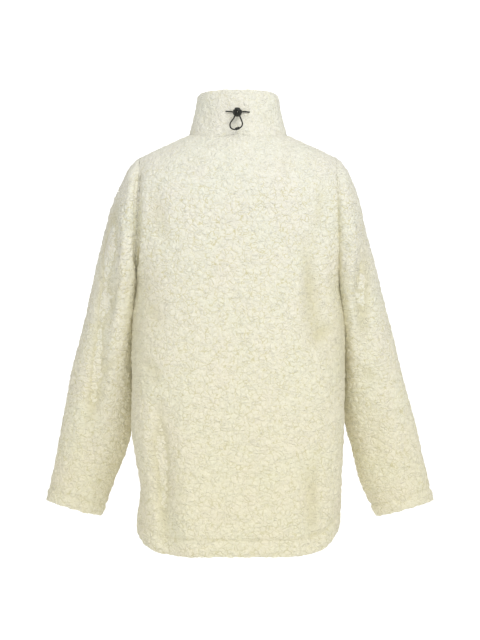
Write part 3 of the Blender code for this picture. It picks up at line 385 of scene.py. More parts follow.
ZIP_LINE, ZIP_LINE_AT, ZIP_BARE, ZIP_RUN = Line(0.0009, 0.0024), 0.0165, 0.0055, 0.0070
FRONT_Y, FAR_FROM_ZIP = -0.03, 0.1
CALM_UP, CALM_FROM, CALM_RUN = 0.35, -0.11, 0.08
LEFT_FILL, RIGHT_FILL, FILL_AT, FILL_REACH = 0.0050, 0.0066, -0.305, 0.090
# Painted shade: how strongly the gaps between curls, the seam and stitch lines and the creases take
# the darker, yellower shade colour.
GAP_SHADE, LINE_SHADE, CREASE_SHADE, CREASE_START, CREASE_MOST = 0.12, 130, 150, 0.12, 0.6
# The last three set painted warm shade on the facing sides of sleeve and body in the crevice
# between them.
ARM_GAP_GAIN, ARM_GAP_START, ARM_GAP_SHADE, ARM_GAP_AT, ARM_GAP_REACH = 1.4, 0.4, 0.55, -0.36, 0.16


def dice(cells, channel):
    """The same unordered number from 0 to 1 for the same lattice cell each time."""
    mixed = cells.astype(np.int64) @ np.array((73856093, 19349663, 83492791))
    mixed += channel * 40503 + 977
    mixed = (mixed ^ (mixed >> 13)) * 1274126177 % 4294967291
    mixed = (mixed ^ (mixed >> 15)) * 2246822519 % 4294967291
    return (mixed ^ (mixed >> 16)) % 65536 / 65536


def cloudy(points, size, channel):
    """Smooth uneven values from -1 to 1 with lumps of about this size."""
    at = points / size
    low = np.floor(at).astype(np.int64)
    t = at - low
    t = t * t * (3 - 2 * t)
    total = np.zeros(len(points))
    for corner in np.ndindex(2, 2, 2):
        share = np.prod(np.where(corner, t, 1 - t), axis=1)
        total += share * dice(low + np.array(corner), channel)
    return 2 * total - 1


def curl_cells(points, size, channel):
    """Distances to the nearest and the second nearest curl's middle, in parts of a curl's size."""
    at = points / np.array(size)
    low = np.floor(at).astype(np.int64)
    nearest = np.full(len(points), 9.0)
    second = np.full(len(points), 9.0)
    for step in np.ndindex(3, 3, 3):
        cell = low + np.array(step) - 1
        middle = cell + np.stack([dice(cell, channel + k) for k in range(3)], axis=1)
        away = np.linalg.norm(middle - at, axis=1)
        second = np.minimum(second, np.maximum(nearest, away))
        nearest = np.minimum(nearest, away)
    return nearest, second


def wall_copy(name, seam_wall):
    """The solid's wall in four-sided faces, with its seams creased and its sides told apart."""
    bm = bmesh.new()
    bm.from_mesh(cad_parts[name].data)
    bmesh.ops.remove_doubles(bm, verts=bm.verts, dist=2e-5)
    bmesh.ops.join_triangles(
        bm, faces=bm.faces, angle_face_threshold=math.radians(FLAT_DEGREES),
        angle_shape_threshold=math.radians(SHAPE_DEGREES),
    )
    side = bm.faces.layers.int.new("side")
    crease = bm.edges.layers.float.new("crease_edge")
    for face in bm.faces:
        shortest = min(edge.calc_length() for edge in face.edges)
        if shortest > seam_wall:
            face[side] = UNTOLD
        else:
            face[side] = SEAM_EDGE if shortest > ROLLED_WALL else ROLLED_EDGE
    walls = []
    for seed in bm.faces:
        if seed[side] != UNTOLD:
            continue
        seed[side] = INSIDE
        wall, area, growing = [seed], 0.0, [seed]
        while growing:
            face = growing.pop()
            area += face.calc_area()
            for edge in face.edges:
                for other in edge.link_faces:
                    if other[side] == UNTOLD:
                        other[side] = INSIDE
                        wall.append(other)
                        growing.append(other)
        walls.append((area, len(walls), wall))
    for face in max(walls)[2]:
        face[side] = OUTSIDE
    for edge in bm.edges:
        sides = [face[side] for face in edge.link_faces]
        turns = edge.calc_face_angle(0.0) > math.radians(SEAM_DEGREES)
        if SEAM_EDGE in sides and (sides[0] != sides[1] or turns):
            edge[crease] = 1.0
    return bm


def values_of(items, key, width=1, kind=float):
    """One property of a mesh's vertices, corners or faces, in rows of this width."""
    found = np.empty(len(items) * width, kind)
    items.foreach_get(key, found)
    return found.reshape(-1, width)


def rounded(bm, name, levels):
    """The wall divided finely and smoothed, with the solid's own corners still on its surface."""
    coarse = bpy.data.meshes.new(name + "_coarse")
    bm.to_mesh(coarse)
    bm.free()
    holder = bpy.data.objects.new(name + "_coarse", coarse)
    bpy.context.scene.collection.objects.link(holder)
    smoothing = holder.modifiers.new("smoothing", "SUBSURF")
    wanted = values_of(coarse.vertices, "co", 3)
    handles = wanted.copy()
    for divisions in (1, 1, 1, levels):
        smoothing.levels = smoothing.render_levels = divisions
        coarse.vertices.foreach_set("co", handles.ravel())
        coarse.update()
        holder.update_tag()
        fine = modified_mesh(holder)
        if divisions == levels:
            break
        handles += 0.8 * (wanted - values_of(fine.vertices, "co", 3)[:len(wanted)])
        bpy.data.meshes.remove(fine)
    fine.name = name
    bpy.data.objects.remove(holder)
    return fine


def near(points, marks, reach):
    """Distance from each point to the nearest mark, no more than reach."""
    if not len(marks):
        return np.full(len(points), reach)
    tree = kdtree.KDTree(len(marks))
    for number, mark in enumerate(marks):
        tree.insert(mark, number)
    tree.balance()
    return np.array([min(tree.find(point)[2], reach) for point in points])


def bell(distance, width):
    """1 at no distance and almost 0 at twice the width."""
    return np.exp(-((distance / width) ** 2))


def rise(values, start, run):
    """0 up to the start, 1 from a run further on, and evenly rising in between."""
    return np.clip((values - start) / run, 0, 1)


def press(points, normals, creases):
    """How deep the creases go at each point."""
    depth = np.zeros(len(points))
    for crease in creases:
        way = 1.0 if crease.face == "back" else -1.0
        start = np.array((crease.x1, crease.z1))
        run = np.array((crease.x2, crease.z2)) - start
        place = points[:, [0, 2]] - start
        t = np.clip(place @ run / (run @ run), 0, 1)
        wander = WANDER * cloudy(points, WANDER_SIZE, 31)
        away = np.linalg.norm(place - t[:, None] * run, axis=1) + wander
        fade = np.sin(math.pi * np.clip(FADE_FROM + FADE_RUN * t, 0, 1))
        facing = np.clip(normals[:, 1] * way * FACE_GAIN, 0, 1)
        depth += crease.depth * fade * facing * bell(away, crease.width)
    return depth


def pile_relief(p, n, to_seam, to_rim, way, creases, stitch_to_edge):
    """How far the pile stands out at points p with normals n, and how much painted shade each of
    them takes.
    """
    bent = p + CURL_BEND * np.stack([cloudy(p, BEND_SIZE, k) for k in (1, 2, 3)], axis=1)
    one, two = curl_cells(bent, CURL_SIZE, 11)
    gap = bell(two - one, GAP_WIDTH)
    raised = CURL_HEIGHT * (CURL_LEVEL - one) - GAP_DEPTH * gap
    for lumps in PILE_LUMPS:
        raised += lumps.height * cloudy(p, lumps.size, lumps.channel)
    groove = SEAM_LINE.depth * bell(to_seam, SEAM_LINE.width)
    raised *= 1 - SEAM_FLAT * bell(to_seam, SEAM_FLAT_WIDTH)

    from_zip = np.where(p[:, 1] < FRONT_Y, np.abs(p[:, 0]), FAR_FROM_ZIP)
    off_zip = rise(from_zip, ZIP_BARE, ZIP_RUN)
    raised *= off_zip * (1 - CALM_UP * rise(p[:, 2], CALM_FROM, CALM_RUN))
    groove += ZIP_LINE.depth * bell(from_zip - ZIP_LINE_AT, ZIP_LINE.width)
    if stitch_to_edge:
        groove += STITCH_LINE.depth * off_zip * bell(to_rim - stitch_to_edge, STITCH_LINE.width)
        groove -= TURN_UP.depth * off_zip * bell(to_rim - stitch_to_edge * 0.5, TURN_UP.width)

    facing = np.clip(n[:, 0] * np.sign(p[:, 0]) * way * ARM_GAP_GAIN - ARM_GAP_START, 0, 1)
    fill = np.where(p[:, 0] > 0, LEFT_FILL, RIGHT_FILL) * bell(p[:, 2] - FILL_AT, FILL_REACH)
    raised += fill * facing
    pressed = press(p, n, creases)

    # Painted shade: the darker, yellower shade colour goes into the gaps between curls, the seam,
    # stitch and zip lines and the creases.
    painted_shade = GAP_SHADE * gap + LINE_SHADE * groove
    painted_shade += np.clip(CREASE_SHADE * np.abs(pressed) - CREASE_START, 0, CREASE_MOST)
    # Painted warm shade on the facing sides in the crevice between sleeve and body.
    painted_shade += ARM_GAP_SHADE * facing * bell(p[:, 2] - ARM_GAP_AT, ARM_GAP_REACH)
    return raised - groove - pressed, np.clip(painted_shade, 0, 1)


def fleece_piece(name, cad, creases, stitch_to_edge=0, below_z=0, seam_wall=SEAM_WALL, levels=3):
    """The solid's wall with its pile raised in curls, its creases, seams and stitch line."""
    mesh = rounded(wall_copy(cad, seam_wall), name, levels)
    count = len(mesh.vertices)
    points = values_of(mesh.vertices, "co", 3)
    flat = values_of(mesh.polygons, "normal", 3)
    sides = values_of(mesh.attributes["side"].data, "value", kind=np.int32).ravel()
    corners = values_of(mesh.loops, "vertex_index", kind=np.int32).reshape(-1, 4)

    def touching(side):
        found = np.zeros(count, bool)
        found[corners[sides == side].ravel()] = True
        return found

    def normals_of(faces):
        total = np.zeros((count, 3))
        for corner in range(4):
            np.add.at(total, corners[faces, corner], flat[faces])
        return total

    piled = (sides == OUTSIDE) | (sides == ROLLED_EDGE)
    normals = normals_of(piled)
    outer = np.linalg.norm(normals, axis=1) > 0
    normals[outer] /= np.linalg.norm(normals[outer], axis=1, keepdims=True)
    outer &= ~(touching(INSIDE) & touching(ROLLED_EDGE))
    on = np.flatnonzero(outer)
    to_seam = near(points[on], points[touching(SEAM_EDGE) & touching(OUTSIDE)], SEAM_REACH)
    rim = points[touching(ROLLED_EDGE)]
    rim = rim[(rim[:, 2] < below_z) & ((np.abs(rim[:, 0]) > ZIP_RIM) | (rim[:, 1] > 0))]
    to_rim = near(points[on], rim, RIM_REACH) if stitch_to_edge else None
    way = -1 if cad.startswith("sleeve") else 1
    painted_shade = np.zeros(count)
    stands, painted_shade[on] = pile_relief(
        points[on], normals[on], to_seam, to_rim, way, creases, stitch_to_edge,
    )
    points[on] += normals[on] * stands[:, None]
    into_seam = normals_of(sides == SEAM_EDGE)
    into_seam /= np.maximum(np.linalg.norm(into_seam, axis=1, keepdims=True), 1e-9)
    points += SEAM_CLOSE * into_seam
    mesh.vertices.foreach_set("co", points.ravel())

    # Each point keeps its painted shade for the pile's colour.
    shade = mesh.attributes.new("painted_shade", "FLOAT", "POINT")
    shade.data.foreach_set("value", painted_shade)
    mesh.polygons.foreach_set("material_index", np.where(piled, 0, 1).astype(np.int32))
    mesh.shade_smooth()
    mesh.materials.clear()
    mesh.materials.append(sherpa_pile)
    mesh.materials.append(sherpa_back)
    mesh.update()
    made = bpy.data.objects.new(name, mesh)
    bpy.context.scene.collection.objects.link(made)
    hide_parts(cad)
    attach(made, "jacket")
    return made


def remap(made, low, high, to_low=0.0, to_high=1.0, **settings):
    """A node that brings values between low and high to values between to_low and to_high."""
    ends = {"From Min": low, "From Max": high, "To Min": to_low, "To Max": to_high}
    return node(made, "ShaderNodeMapRange", **settings, **ends)


def tones(made, *stops):
    """A colour ramp with a place and a colour for each of its two stops."""
    new = node(made, "ShaderNodeValToRGB")
    for element, (place, color) in zip(new.color_ramp.elements, stops):
        element.position = place
        element.color = (*color, 1)
    return new


VECTOR_A, VECTOR_B, VECTOR_OUT = 4, 5, 1


def curl_patterns(made, coords):
    """Curls a little wider than they are tall, and tufts on them, both bent out of line."""
    wide_bend = node(made, "ShaderNodeTexNoise", Scale=55.0, Detail=2.0)
    small_bend = node(made, "ShaderNodeTexNoise", Scale=330.0, Detail=1.0)
    bend_one = node(made, "ShaderNodeMix", data_type="VECTOR", Factor=0.014)
    bend_two = node(made, "ShaderNodeMix", data_type="VECTOR", Factor=0.0014)
    squat = node(made, "ShaderNodeVectorMath", operation="MULTIPLY")
    squat.inputs[1].default_value = (1.0, 1.0, 1.3)
    curls = node(made, "ShaderNodeTexVoronoi", feature="DISTANCE_TO_EDGE", Scale=108.0)
    tufts = node(made, "ShaderNodeTexVoronoi", feature="F1", Scale=340.0)
    wire(
        made,
        (coords, "Object", wide_bend, "Vector"),
        (coords, "Object", small_bend, "Vector"),
        (coords, "Object", bend_one, VECTOR_A),
        (wide_bend, "Color", bend_one, VECTOR_B),
        (bend_one, VECTOR_OUT, bend_two, VECTOR_A),
        (small_bend, "Color", bend_two, VECTOR_B),
        (bend_two, VECTOR_OUT, squat, 0),
        (squat, "Vector", curls, "Vector"),
        (squat, "Vector", tufts, "Vector"),
    )
    return curls, tufts


def painted_shade_share(made, coords, height, curls, tufts):
    """How much painted shade shows, in the lines round the curls and tufts and where cloth dips."""
    line = remap(made, 0.0, 0.12, 0.82, 0.0)
    tuft_line = remap(made, 0.42, 0.80, 0.0, 0.26)
    uneven = node(made, "ShaderNodeTexNoise", Scale=120.0, Detail=2.0, Roughness=0.6)
    line_share = remap(made, 0.38, 0.62, 0.25, 1.25)
    uneven_line = node(made, "ShaderNodeMath", operation="MULTIPLY")
    calmer_up = remap(made, -0.13, -0.03, 1.0, 0.55)
    calm_line = node(made, "ShaderNodeMath", operation="MULTIPLY")
    painted_shade = node(made, "ShaderNodeAttribute", attribute_type="GEOMETRY", attribute_name="painted_shade")
    deeper = node(made, "ShaderNodeMath", operation="MAXIMUM")
    deepest = node(made, "ShaderNodeMath", operation="MAXIMUM")
    wire(
        made,
        (coords, "Object", uneven, "Vector"),
        (curls, "Distance", line, "Value"),
        (tufts, "Distance", tuft_line, "Value"),
        (uneven, "Fac", line_share, "Value"),
        (line, "Result", uneven_line, 0),
        (line_share, "Result", uneven_line, 1),
        (height, "Z", calmer_up, "Value"),
        (uneven_line, "Value", calm_line, 0),
        (calmer_up, "Result", calm_line, 1),
        (calm_line, "Value", deeper, 0),
        (tuft_line, "Result", deeper, 1),
        (deeper, "Value", deepest, 0),
        (painted_shade, "Fac", deepest, 1),
    )
    return deepest


def pile_color(made, coords, curls, tufts, color, painted_shade_color):
    """Colours the pile: yellower low down, mottled and specked, and darker and yellower in its
    hollows with painted shade.
    """
    height = node(made, "ShaderNodeSeparateXYZ")
    low_down = remap(made, -0.08, -0.62)
    mottle = node(made, "ShaderNodeTexNoise", Scale=16.0, Detail=3.0, Roughness=0.6)
    specks = node(made, "ShaderNodeTexNoise", Scale=330.0, Detail=3.0, Roughness=0.7)
    low_color = (color[0] * 0.99, color[1] * 0.95, color[2] * 0.82, 1)
    lower = node(made, "ShaderNodeMixRGB", blend_type="MIX", Color1=(*color, 1), Color2=low_color)
    mottled = node(made, "ShaderNodeMixRGB", blend_type="MULTIPLY", Fac=0.6)
    tint = tones(made, (0.35, (0.965, 0.98, 0.93)), (0.65, (1.0, 0.975, 0.955)))
    speckled = node(made, "ShaderNodeMixRGB", blend_type="MULTIPLY", Fac=1.0)
    speck_tone = tones(made, (0.30, (0.95, 0.945, 0.92)), (0.62, (1.0, 1.0, 1.0)))
    # Painted shade: mixes the darker, yellower shade colour into the crevices, lines and creases.
    shaded = node(made, "ShaderNodeMixRGB", blend_type="MIX", Color2=(*painted_shade_color, 1))
    deepest = painted_shade_share(made, coords, height, curls, tufts)
    wire(
        made,
        (coords, "Object", mottle, "Vector"),
        (coords, "Object", specks, "Vector"),
        (coords, "Object", height, "Vector"),
        (height, "Z", low_down, "Value"),
        (low_down, "Result", lower, "Fac"),
        (mottle, "Fac", tint, "Fac"),
        (specks, "Fac", speck_tone, "Fac"),
        (lower, "Color", mottled, "Color1"),
        (tint, "Color", mottled, "Color2"),
        (mottled, "Color", speckled, "Color1"),
        (speck_tone, "Color", speckled, "Color2"),
        (deepest, "Value", shaded, "Fac"),
        (speckled, "Color", shaded, "Color1"),
        (shaded, "Color", shader_of(made), "Base Color"),
    )


def pile_bump(made, coords, curls, tufts):
    """Raises the pile finely: a dome for each curl, smaller ones for its tufts, and fuzz."""
    dome = remap(made, 0.0, 0.42, interpolation_type="SMOOTHSTEP")
    tuft_dome = remap(made, 0.75, 0.0, interpolation_type="SMOOTHSTEP")
    fuzz = node(made, "ShaderNodeTexNoise", Scale=900.0, Detail=4.0, Roughness=0.75)
    curl_bump = node(made, "ShaderNodeBump", Strength=0.8, Distance=0.0015)
    tuft_bump = node(made, "ShaderNodeBump", Strength=0.7, Distance=0.0008)
    fuzz_bump = node(made, "ShaderNodeBump", Strength=0.7, Distance=0.0006)
    wire(
        made,
        (coords, "Object", fuzz, "Vector"),
        (curls, "Distance", dome, "Value"),
        (tufts, "Distance", tuft_dome, "Value"),
        (dome, "Result", curl_bump, "Height"),
        (tuft_dome, "Result", tuft_bump, "Height"),
        (fuzz, "Fac", fuzz_bump, "Height"),
        (fuzz_bump, "Normal", tuft_bump, "Normal"),
        (tuft_bump, "Normal", curl_bump, "Normal"),
        (curl_bump, "Normal", shader_of(made), "Normal"),
    )


def pile_material(name, color, painted_shade_color):
    """Cream sherpa: matt, softly shining curls, with painted shade, darker and yellower, in their
    hollows.
    """
    made = plain_material(name, color, 0.95)
    shader = shader_of(made)
    shader.inputs["Sheen Weight"].default_value = 0.25
    shader.inputs["Sheen Roughness"].default_value = 0.55
    shader.inputs["Sheen Tint"].default_value = (1.0, 0.97, 0.90, 1)
    shader.inputs["Specular IOR Level"].default_value = 0.12
    coords = node(made, "ShaderNodeTexCoord")
    curls, tufts = curl_patterns(made, coords)
    pile_color(made, coords, curls, tufts, color, painted_shade_color)
    pile_bump(made, coords, curls, tufts)
    return made


def knit_material(name, color):
    """The plain side of the fleece: fine rows of brushed loops."""
    made = plain_material(name, color, 0.95)
    shader_of(made).inputs["Sheen Weight"].default_value = 0.2
    coords = node(made, "ShaderNodeTexCoord")
    rows = node(
        made, "ShaderNodeTexWave", bands_direction="X", Scale=230.0, Distortion=0.4, Detail=1.0,
    )
    fuzz = node(made, "ShaderNodeTexNoise", Scale=500.0, Detail=3.0)
    row_bump = node(made, "ShaderNodeBump", Strength=0.25, Distance=0.0003)
    fuzz_bump = node(made, "ShaderNodeBump", Strength=0.4, Distance=0.0003)
    wire(
        made,
        (coords, "Object", rows, "Vector"),
        (coords, "Object", fuzz, "Vector"),
        (rows, "Fac", row_bump, "Height"),
        (fuzz, "Fac", fuzz_bump, "Height"),
        (row_bump, "Normal", fuzz_bump, "Normal"),
        (fuzz_bump, "Normal", shader_of(made), "Normal"),
    )
    return made


# The second colour is painted shade, darker and yellower, for the pile's crevices, lines and
# creases.
sherpa_pile = pile_material("sherpa_pile", (0.950, 0.942, 0.860), (0.66, 0.61, 0.37))
sherpa_back = knit_material("sherpa_back", (0.80, 0.76, 0.62))
back_panel = fleece_piece("back_panel", "back", BACK_CREASES, HEM_STITCH, HEM_BELOW)


# Fronts: a left and a right piece of the same sherpa, turned in along the zip and stitched to its
# tapes, with the hem stitched up as on the back.
FRONT_CREASES = (
    Crease("front", 0.120, -0.060, 0.140, -0.180, 0.0163, 0.0031),
    Crease("front", 0.150, -0.250, 0.085, -0.300, 0.0175, 0.0027),
    Crease("front", 0.110, -0.330, 0.092, -0.700, 0.0187, 0.0037),
    Crease("front", 0.045, -0.520, 0.040, -0.715, 0.0225, 0.0020),
    Crease("front", 0.155, -0.420, 0.110, -0.470, 0.0150, 0.0024),
    Crease("front", -0.126, -0.060, -0.142, -0.200, 0.0163, 0.0031),
    Crease("front", -0.150, -0.270, -0.090, -0.330, 0.0175, 0.0027),
    Crease("front", -0.112, -0.380, -0.094, -0.710, 0.0187, 0.0037),
    Crease("front", -0.050, -0.560, -0.046, -0.715, 0.0225, 0.0020),
    Crease("front", -0.155, -0.450, -0.118, -0.510, 0.0150, 0.0024),
)
for name, cad in (("front_panel_left", "front_left"), ("front_panel_right", "front_right")):
    panel = fleece_piece(name, cad, FRONT_CREASES, HEM_STITCH, HEM_BELOW)


# Sleeves: each one piece of sherpa, seamed along its inner line, set into the armhole and turned
# up at the cuff with one row of stitches.
CUFF_STITCH, CUFF_BELOW = 0.020, -0.63
LEFT_SLEEVE_CREASES = (
    *LEFT_ARMHOLE,
    Crease("back", 0.224, -0.120, 0.243, -0.300, 0.0135, 0.0072),
    Crease("back", 0.242, -0.285, 0.264, -0.505, 0.0130, 0.0068),
    Crease("back", 0.205, -0.230, 0.232, -0.330, 0.0150, 0.0027),
    Crease("back", 0.214, -0.395, 0.248, -0.430, 0.0125, 0.0031),
    Crease("back", 0.222, -0.450, 0.262, -0.470, 0.0125, 0.0024),
    Crease("back", 0.290, -0.520, 0.300, -0.640, 0.0150, 0.0020),
    Crease("front", 0.215, -0.150, 0.235, -0.300, 0.0175, 0.0031),
    Crease("front", 0.205, -0.380, 0.290, -0.400, 0.0150, 0.0041),
    Crease("front", 0.215, -0.430, 0.300, -0.440, 0.0137, 0.0034),
    Crease("front", 0.250, -0.480, 0.285, -0.620, 0.0163, 0.0027),
)
RIGHT_SLEEVE_CREASES = (
    *RIGHT_ARMHOLE,
    Crease("back", -0.226, -0.180, -0.224, -0.345, 0.0160, 0.0042),
    Crease("back", -0.206, -0.250, -0.226, -0.380, 0.0150, 0.0024),
    Crease("back", -0.216, -0.410, -0.252, -0.440, 0.0125, 0.0031),
    Crease("back", -0.240, -0.480, -0.262, -0.600, 0.0163, 0.0024),
    Crease("back", -0.300, -0.500, -0.318, -0.630, 0.0150, 0.0017),
    Crease("front", -0.215, -0.160, -0.232, -0.310, 0.0175, 0.0031),
    Crease("front", -0.208, -0.370, -0.286, -0.395, 0.0150, 0.0041),
    Crease("front", -0.220, -0.425, -0.298, -0.450, 0.0137, 0.0034),
    Crease("front", -0.250, -0.500, -0.288, -0.630, 0.0163, 0.0027),
)
for name, cad, creases in (
    ("set_in_sleeve_left", "sleeve_left", LEFT_SLEEVE_CREASES),
    ("set_in_sleeve_right", "sleeve_right", RIGHT_SLEEVE_CREASES),
):
    sleeve = fleece_piece(name, cad, creases, CUFF_STITCH, CUFF_BELOW)


# Collar: two layers of sherpa sewn round the neck and turned at the top, with the drawcord
# running between them.
COLLAR_SEAM_WALL = 0.009
COLLAR_CREASES = (
    Crease("back", 0.050, 0.055, 0.060, 0.015, 0.0125, 0.0020),
    Crease("back", -0.048, 0.050, -0.062, 0.012, 0.0125, 0.0020),
    Crease("front", 0.045, 0.020, 0.060, -0.030, 0.0150, 0.0024),
    Crease("front", -0.046, 0.015, -0.058, -0.035, 0.0150, 0.0024),
)
stand_collar = fleece_piece(
    "stand_collar", "collar", COLLAR_CREASES, seam_wall=COLLAR_SEAM_WALL, levels=4,
)


# Zip tapes: two tapes woven of black polyester, sewn behind the front edges from the hem to the top
# of the collar. The solids stay as they are and only take the weave.
tape_black = plain_material("tape_black", (0.020, 0.020, 0.018), 0.85)
weave = node(
    tape_black, "ShaderNodeTexWave", bands_direction="Z", Scale=350.0, Distortion=2.0, Detail=1.0,
)
bump_from(tape_black, weave, "Fac", Strength=0.4, Distance=0.0002)
for name in ("zip_tape_left", "zip_tape_right"):
    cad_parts[name].data.materials.clear()
    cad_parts[name].data.materials.append(tape_black)


# Zip teeth: two closed rows of moulded black teeth, one from each side in turn, round the beaded
# edges of the tapes, from the retaining box up to the slider.
TOOTH_STEP, TOOTH_REACH, TOOTH_TALL, TOOTH_THICK = 0.0015, 0.0034, 0.0021, 0.0023
TOOTH_ROUND = 0.00042
CHAIN_HALF, BEAD_HALF, BEAD_HALF_THICK, TEETH_A_RING = 0.0029, 0.0026, 0.0005, 12
ZIP_SHARP_DEGREES = 30
zip_black = plain_material("zip_black", (0.016, 0.016, 0.016), 0.40)


def unit(rows):
    """Each row shortened or stretched to a length of 1."""
    return rows / np.linalg.norm(rows, axis=1)[:, None]


def chain_line(step):
    """Even points up the middle of the closed teeth, with the way along and the way out at each."""
    bm = bmesh.new()
    bm.from_mesh(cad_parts["zip_chain"].data)
    bmesh.ops.remove_doubles(bm, verts=bm.verts, dist=1e-5)
    corners = np.array([vert.co[:] for vert in bm.verts if vert.co.x > 0])
    bm.free()
    found = []
    for number, corner in enumerate(corners):
        away = np.linalg.norm(corners - corner, axis=1)
        away[number] = 9.0
        partner = corners[away.argmin()]
        if corner[1] < partner[1]:
            found.append(np.concatenate([(corner + partner) / 2, corner - partner]))
    found = np.array(sorted(found, key=lambda row: row[2]))
    at = along(found[:, :3])
    wanted = np.arange(0.5, at[-1] / step) * step
    rows = np.stack([np.interp(wanted, at, found[:, k]) for k in range(6)], axis=1)
    places, outs = rows[:, :3] * (0, 1, 1), rows[:, 3:] * (0, 1, 1)
    return places, unit(np.gradient(places, axis=0)), unit(outs)


def placed(place, up, out):
    """A matrix that stands x across the zip, y up it and z out of the cloth."""
    across = Vector((1.0, 0.0, 0.0))
    turn = Matrix((across, Vector(up), Vector(out))).transposed().to_4x4()
    return Matrix.Translation(Vector(place)) @ turn


teeth = bmesh.new()
stands = [placed(place, up, out) for place, up, out in zip(*chain_line(TOOTH_STEP))]
size = Matrix.Diagonal((TOOTH_REACH, TOOTH_TALL, TOOTH_THICK, 1.0))
for number, stand in enumerate(stands):
    side = 1 if number % 2 else -1
    shift = Matrix.Translation((side * (CHAIN_HALF - TOOTH_REACH / 2), 0.0, 0.0))
    bmesh.ops.create_cube(teeth, size=1.0, matrix=stand @ shift @ size)
bevel(teeth, teeth.edges[:], TOOTH_ROUND, 1)
bead = []
for stand in stands[::TEETH_A_RING] + stands[-1:]:
    bead.append([
        teeth.verts.new(stand @ Vector((x * BEAD_HALF, 0.0, w * BEAD_HALF_THICK)))
        for x, w in ((-1, -1), (1, -1), (1, 1), (-1, 1))
    ])
for low, high in zip(bead, bead[1:]):
    for corner in range(4):
        teeth.faces.new((low[corner], low[corner - 3], high[corner - 3], high[corner]))
zip_teeth = piece_object("zip_teeth", teeth, zip_black, ZIP_SHARP_DEGREES)
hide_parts("zip_chain")
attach(zip_teeth, "jacket")


# Retaining box: a block of the same black plastic, moulded on the foot of one tape. The other
# tape's pin stands in it, so that it holds the two together.
BOX_ROUND = 0.0007
box = bmesh.new()
box.from_mesh(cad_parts["zip_box"].data)
bmesh.ops.remove_doubles(box, verts=box.verts, dist=1e-5)
bmesh.ops.dissolve_limit(box, angle_limit=math.radians(3), verts=box.verts, edges=box.edges)
bevel(box, box.edges[:], BOX_ROUND, 3)
retaining_box = piece_object("retaining_box", box, zip_black, ZIP_SHARP_DEGREES)
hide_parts("zip_box")
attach(retaining_box, "jacket")


# Slider: die-cast and painted black, two plates joined by a post between the rows of teeth, with a
# bridge on its face that holds the pull tab.
ZIP_UP, ZIP_OUT = (0.0, 0.0238, 0.9997), (0.0, -0.9997, 0.0238)
SLIDER_AT = placed((0.0, -0.07622, 0.02353), ZIP_UP, ZIP_OUT)
FRONT_PLATE, REAR_PLATE, POST_HALF, BRIDGE_HALF = (1.5, 2.9), (-2.7, -1.5), 1.7, 1.1
METAL_ROUND = 0.0003
POST = ((-1.2, 1.5), (1.2, 1.5), (0.9, 6.0), (-0.9, 6.0))
PLATE = (
    (-4.2, 2.0), (-3.55, -3.5), (-3.35, -5.8), (-2.8, -6.5), (2.8, -6.5), (3.35, -5.8),
    (3.55, -3.5), (4.2, 2.0), (4.2, 5.1), (3.5, 6.5), (1.6, 6.5), (0.9, 5.4), (-0.9, 5.4),
    (-1.6, 6.5), (-3.5, 6.5), (-4.2, 5.1),
)
BRIDGE = (
    (-4.2, 2.7), (-4.2, 5.0), (-3.2, 6.1), (-1.6, 6.2), (1.6, 6.2), (3.2, 6.1), (4.2, 5.0),
    (4.2, 2.7), (3.1, 2.7), (3.1, 4.6), (2.5, 5.05), (-2.5, 5.05), (-3.1, 4.6), (-3.1, 2.7),
)
metal_black = plain_material("metal_black", (0.014, 0.014, 0.015), 0.32)
shader_of(metal_black).inputs["Metallic"].default_value = 0.35


def plate(bm, outline, low, high, turn):
    """A flat block of this outline between two heights, all in millimetres, turned into place."""
    bottom, top = (
        [bm.verts.new(turn @ (Vector((a, b, w)) / 1000)) for a, b in outline] for w in (low, high)
    )
    bm.faces.new(bottom[::-1])
    bm.faces.new(top)
    for number in range(len(outline)):
        bm.faces.new((bottom[number - 1], bottom[number], top[number], top[number - 1]))


def soften(bm):
    """Rounds every edge that turns by more than 50 degrees."""
    bmesh.ops.recalc_face_normals(bm, faces=bm.faces)
    bevel(bm, [e for e in bm.edges if e.calc_face_angle(0.0) > math.radians(50)], METAL_ROUND, 2)


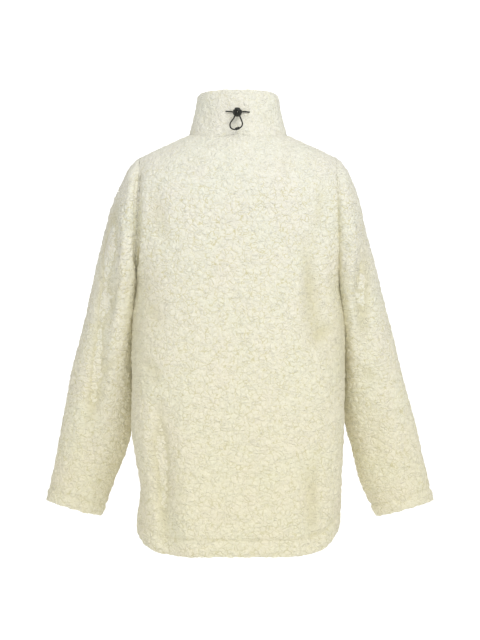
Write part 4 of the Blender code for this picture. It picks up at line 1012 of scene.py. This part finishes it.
slider_shape = bmesh.new()
plate(slider_shape, PLATE, *FRONT_PLATE, SLIDER_AT)
plate(slider_shape, PLATE, *REAR_PLATE, SLIDER_AT)
plate(slider_shape, POST, -POST_HALF, POST_HALF, SLIDER_AT)
along_x = Matrix(((0, 0, 1, 0), (1, 0, 0, 0), (0, 1, 0, 0), (0, 0, 0, 1)))
plate(slider_shape, BRIDGE, -BRIDGE_HALF, BRIDGE_HALF, SLIDER_AT @ along_x)
soften(slider_shape)
slider = piece_object("slider", slider_shape, metal_black, ZIP_SHARP_DEGREES)
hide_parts("zip_slider")
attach(slider, "jacket")


# Pull tab: a flat tab stamped from the same metal and painted black. The round bar at its top hangs
# in the slider's bridge, so that it swings.
PULL_AT = placed((0.0, -0.08021, 0.02172), ZIP_UP, ZIP_OUT)
TAB_HALF, BAR_RADIUS, BAR_LENGTH = 0.75, 0.0007, 0.0036
TAB = (
    (-3.75, 0.3), (-3.75, -7.4), (-3.35, -10.5), (-3.35, -21.0), (-3.75, -24.0), (-3.75, -28.0),
    (-3.1, -29.4), (-1.8, -30.0), (1.8, -30.0), (3.1, -29.4), (3.75, -28.0), (3.75, -24.0),
    (3.35, -21.0), (3.35, -10.5), (3.75, -7.4), (3.75, 0.3), (3.3, 0.75), (1.9, 0.75), (1.5, 0.35),
    (1.5, -6.2), (1.1, -6.9), (0.5, -7.15), (-0.5, -7.15), (-1.1, -6.9), (-1.5, -6.2), (-1.5, 0.35),
    (-1.9, 0.75), (-3.3, 0.75),
)
tab_shape = bmesh.new()
plate(tab_shape, TAB, -TAB_HALF, TAB_HALF, PULL_AT)
soften(tab_shape)
bmesh.ops.create_cone(
    tab_shape, cap_ends=True, segments=20, radius1=BAR_RADIUS, radius2=BAR_RADIUS, depth=BAR_LENGTH,
    matrix=PULL_AT @ Matrix.Rotation(math.radians(90), 4, "Y"),
)
pull_tab = piece_object("pull_tab", tab_shape, metal_black, ZIP_SHARP_DEGREES)
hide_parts("zip_pull")
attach(pull_tab, "pull")
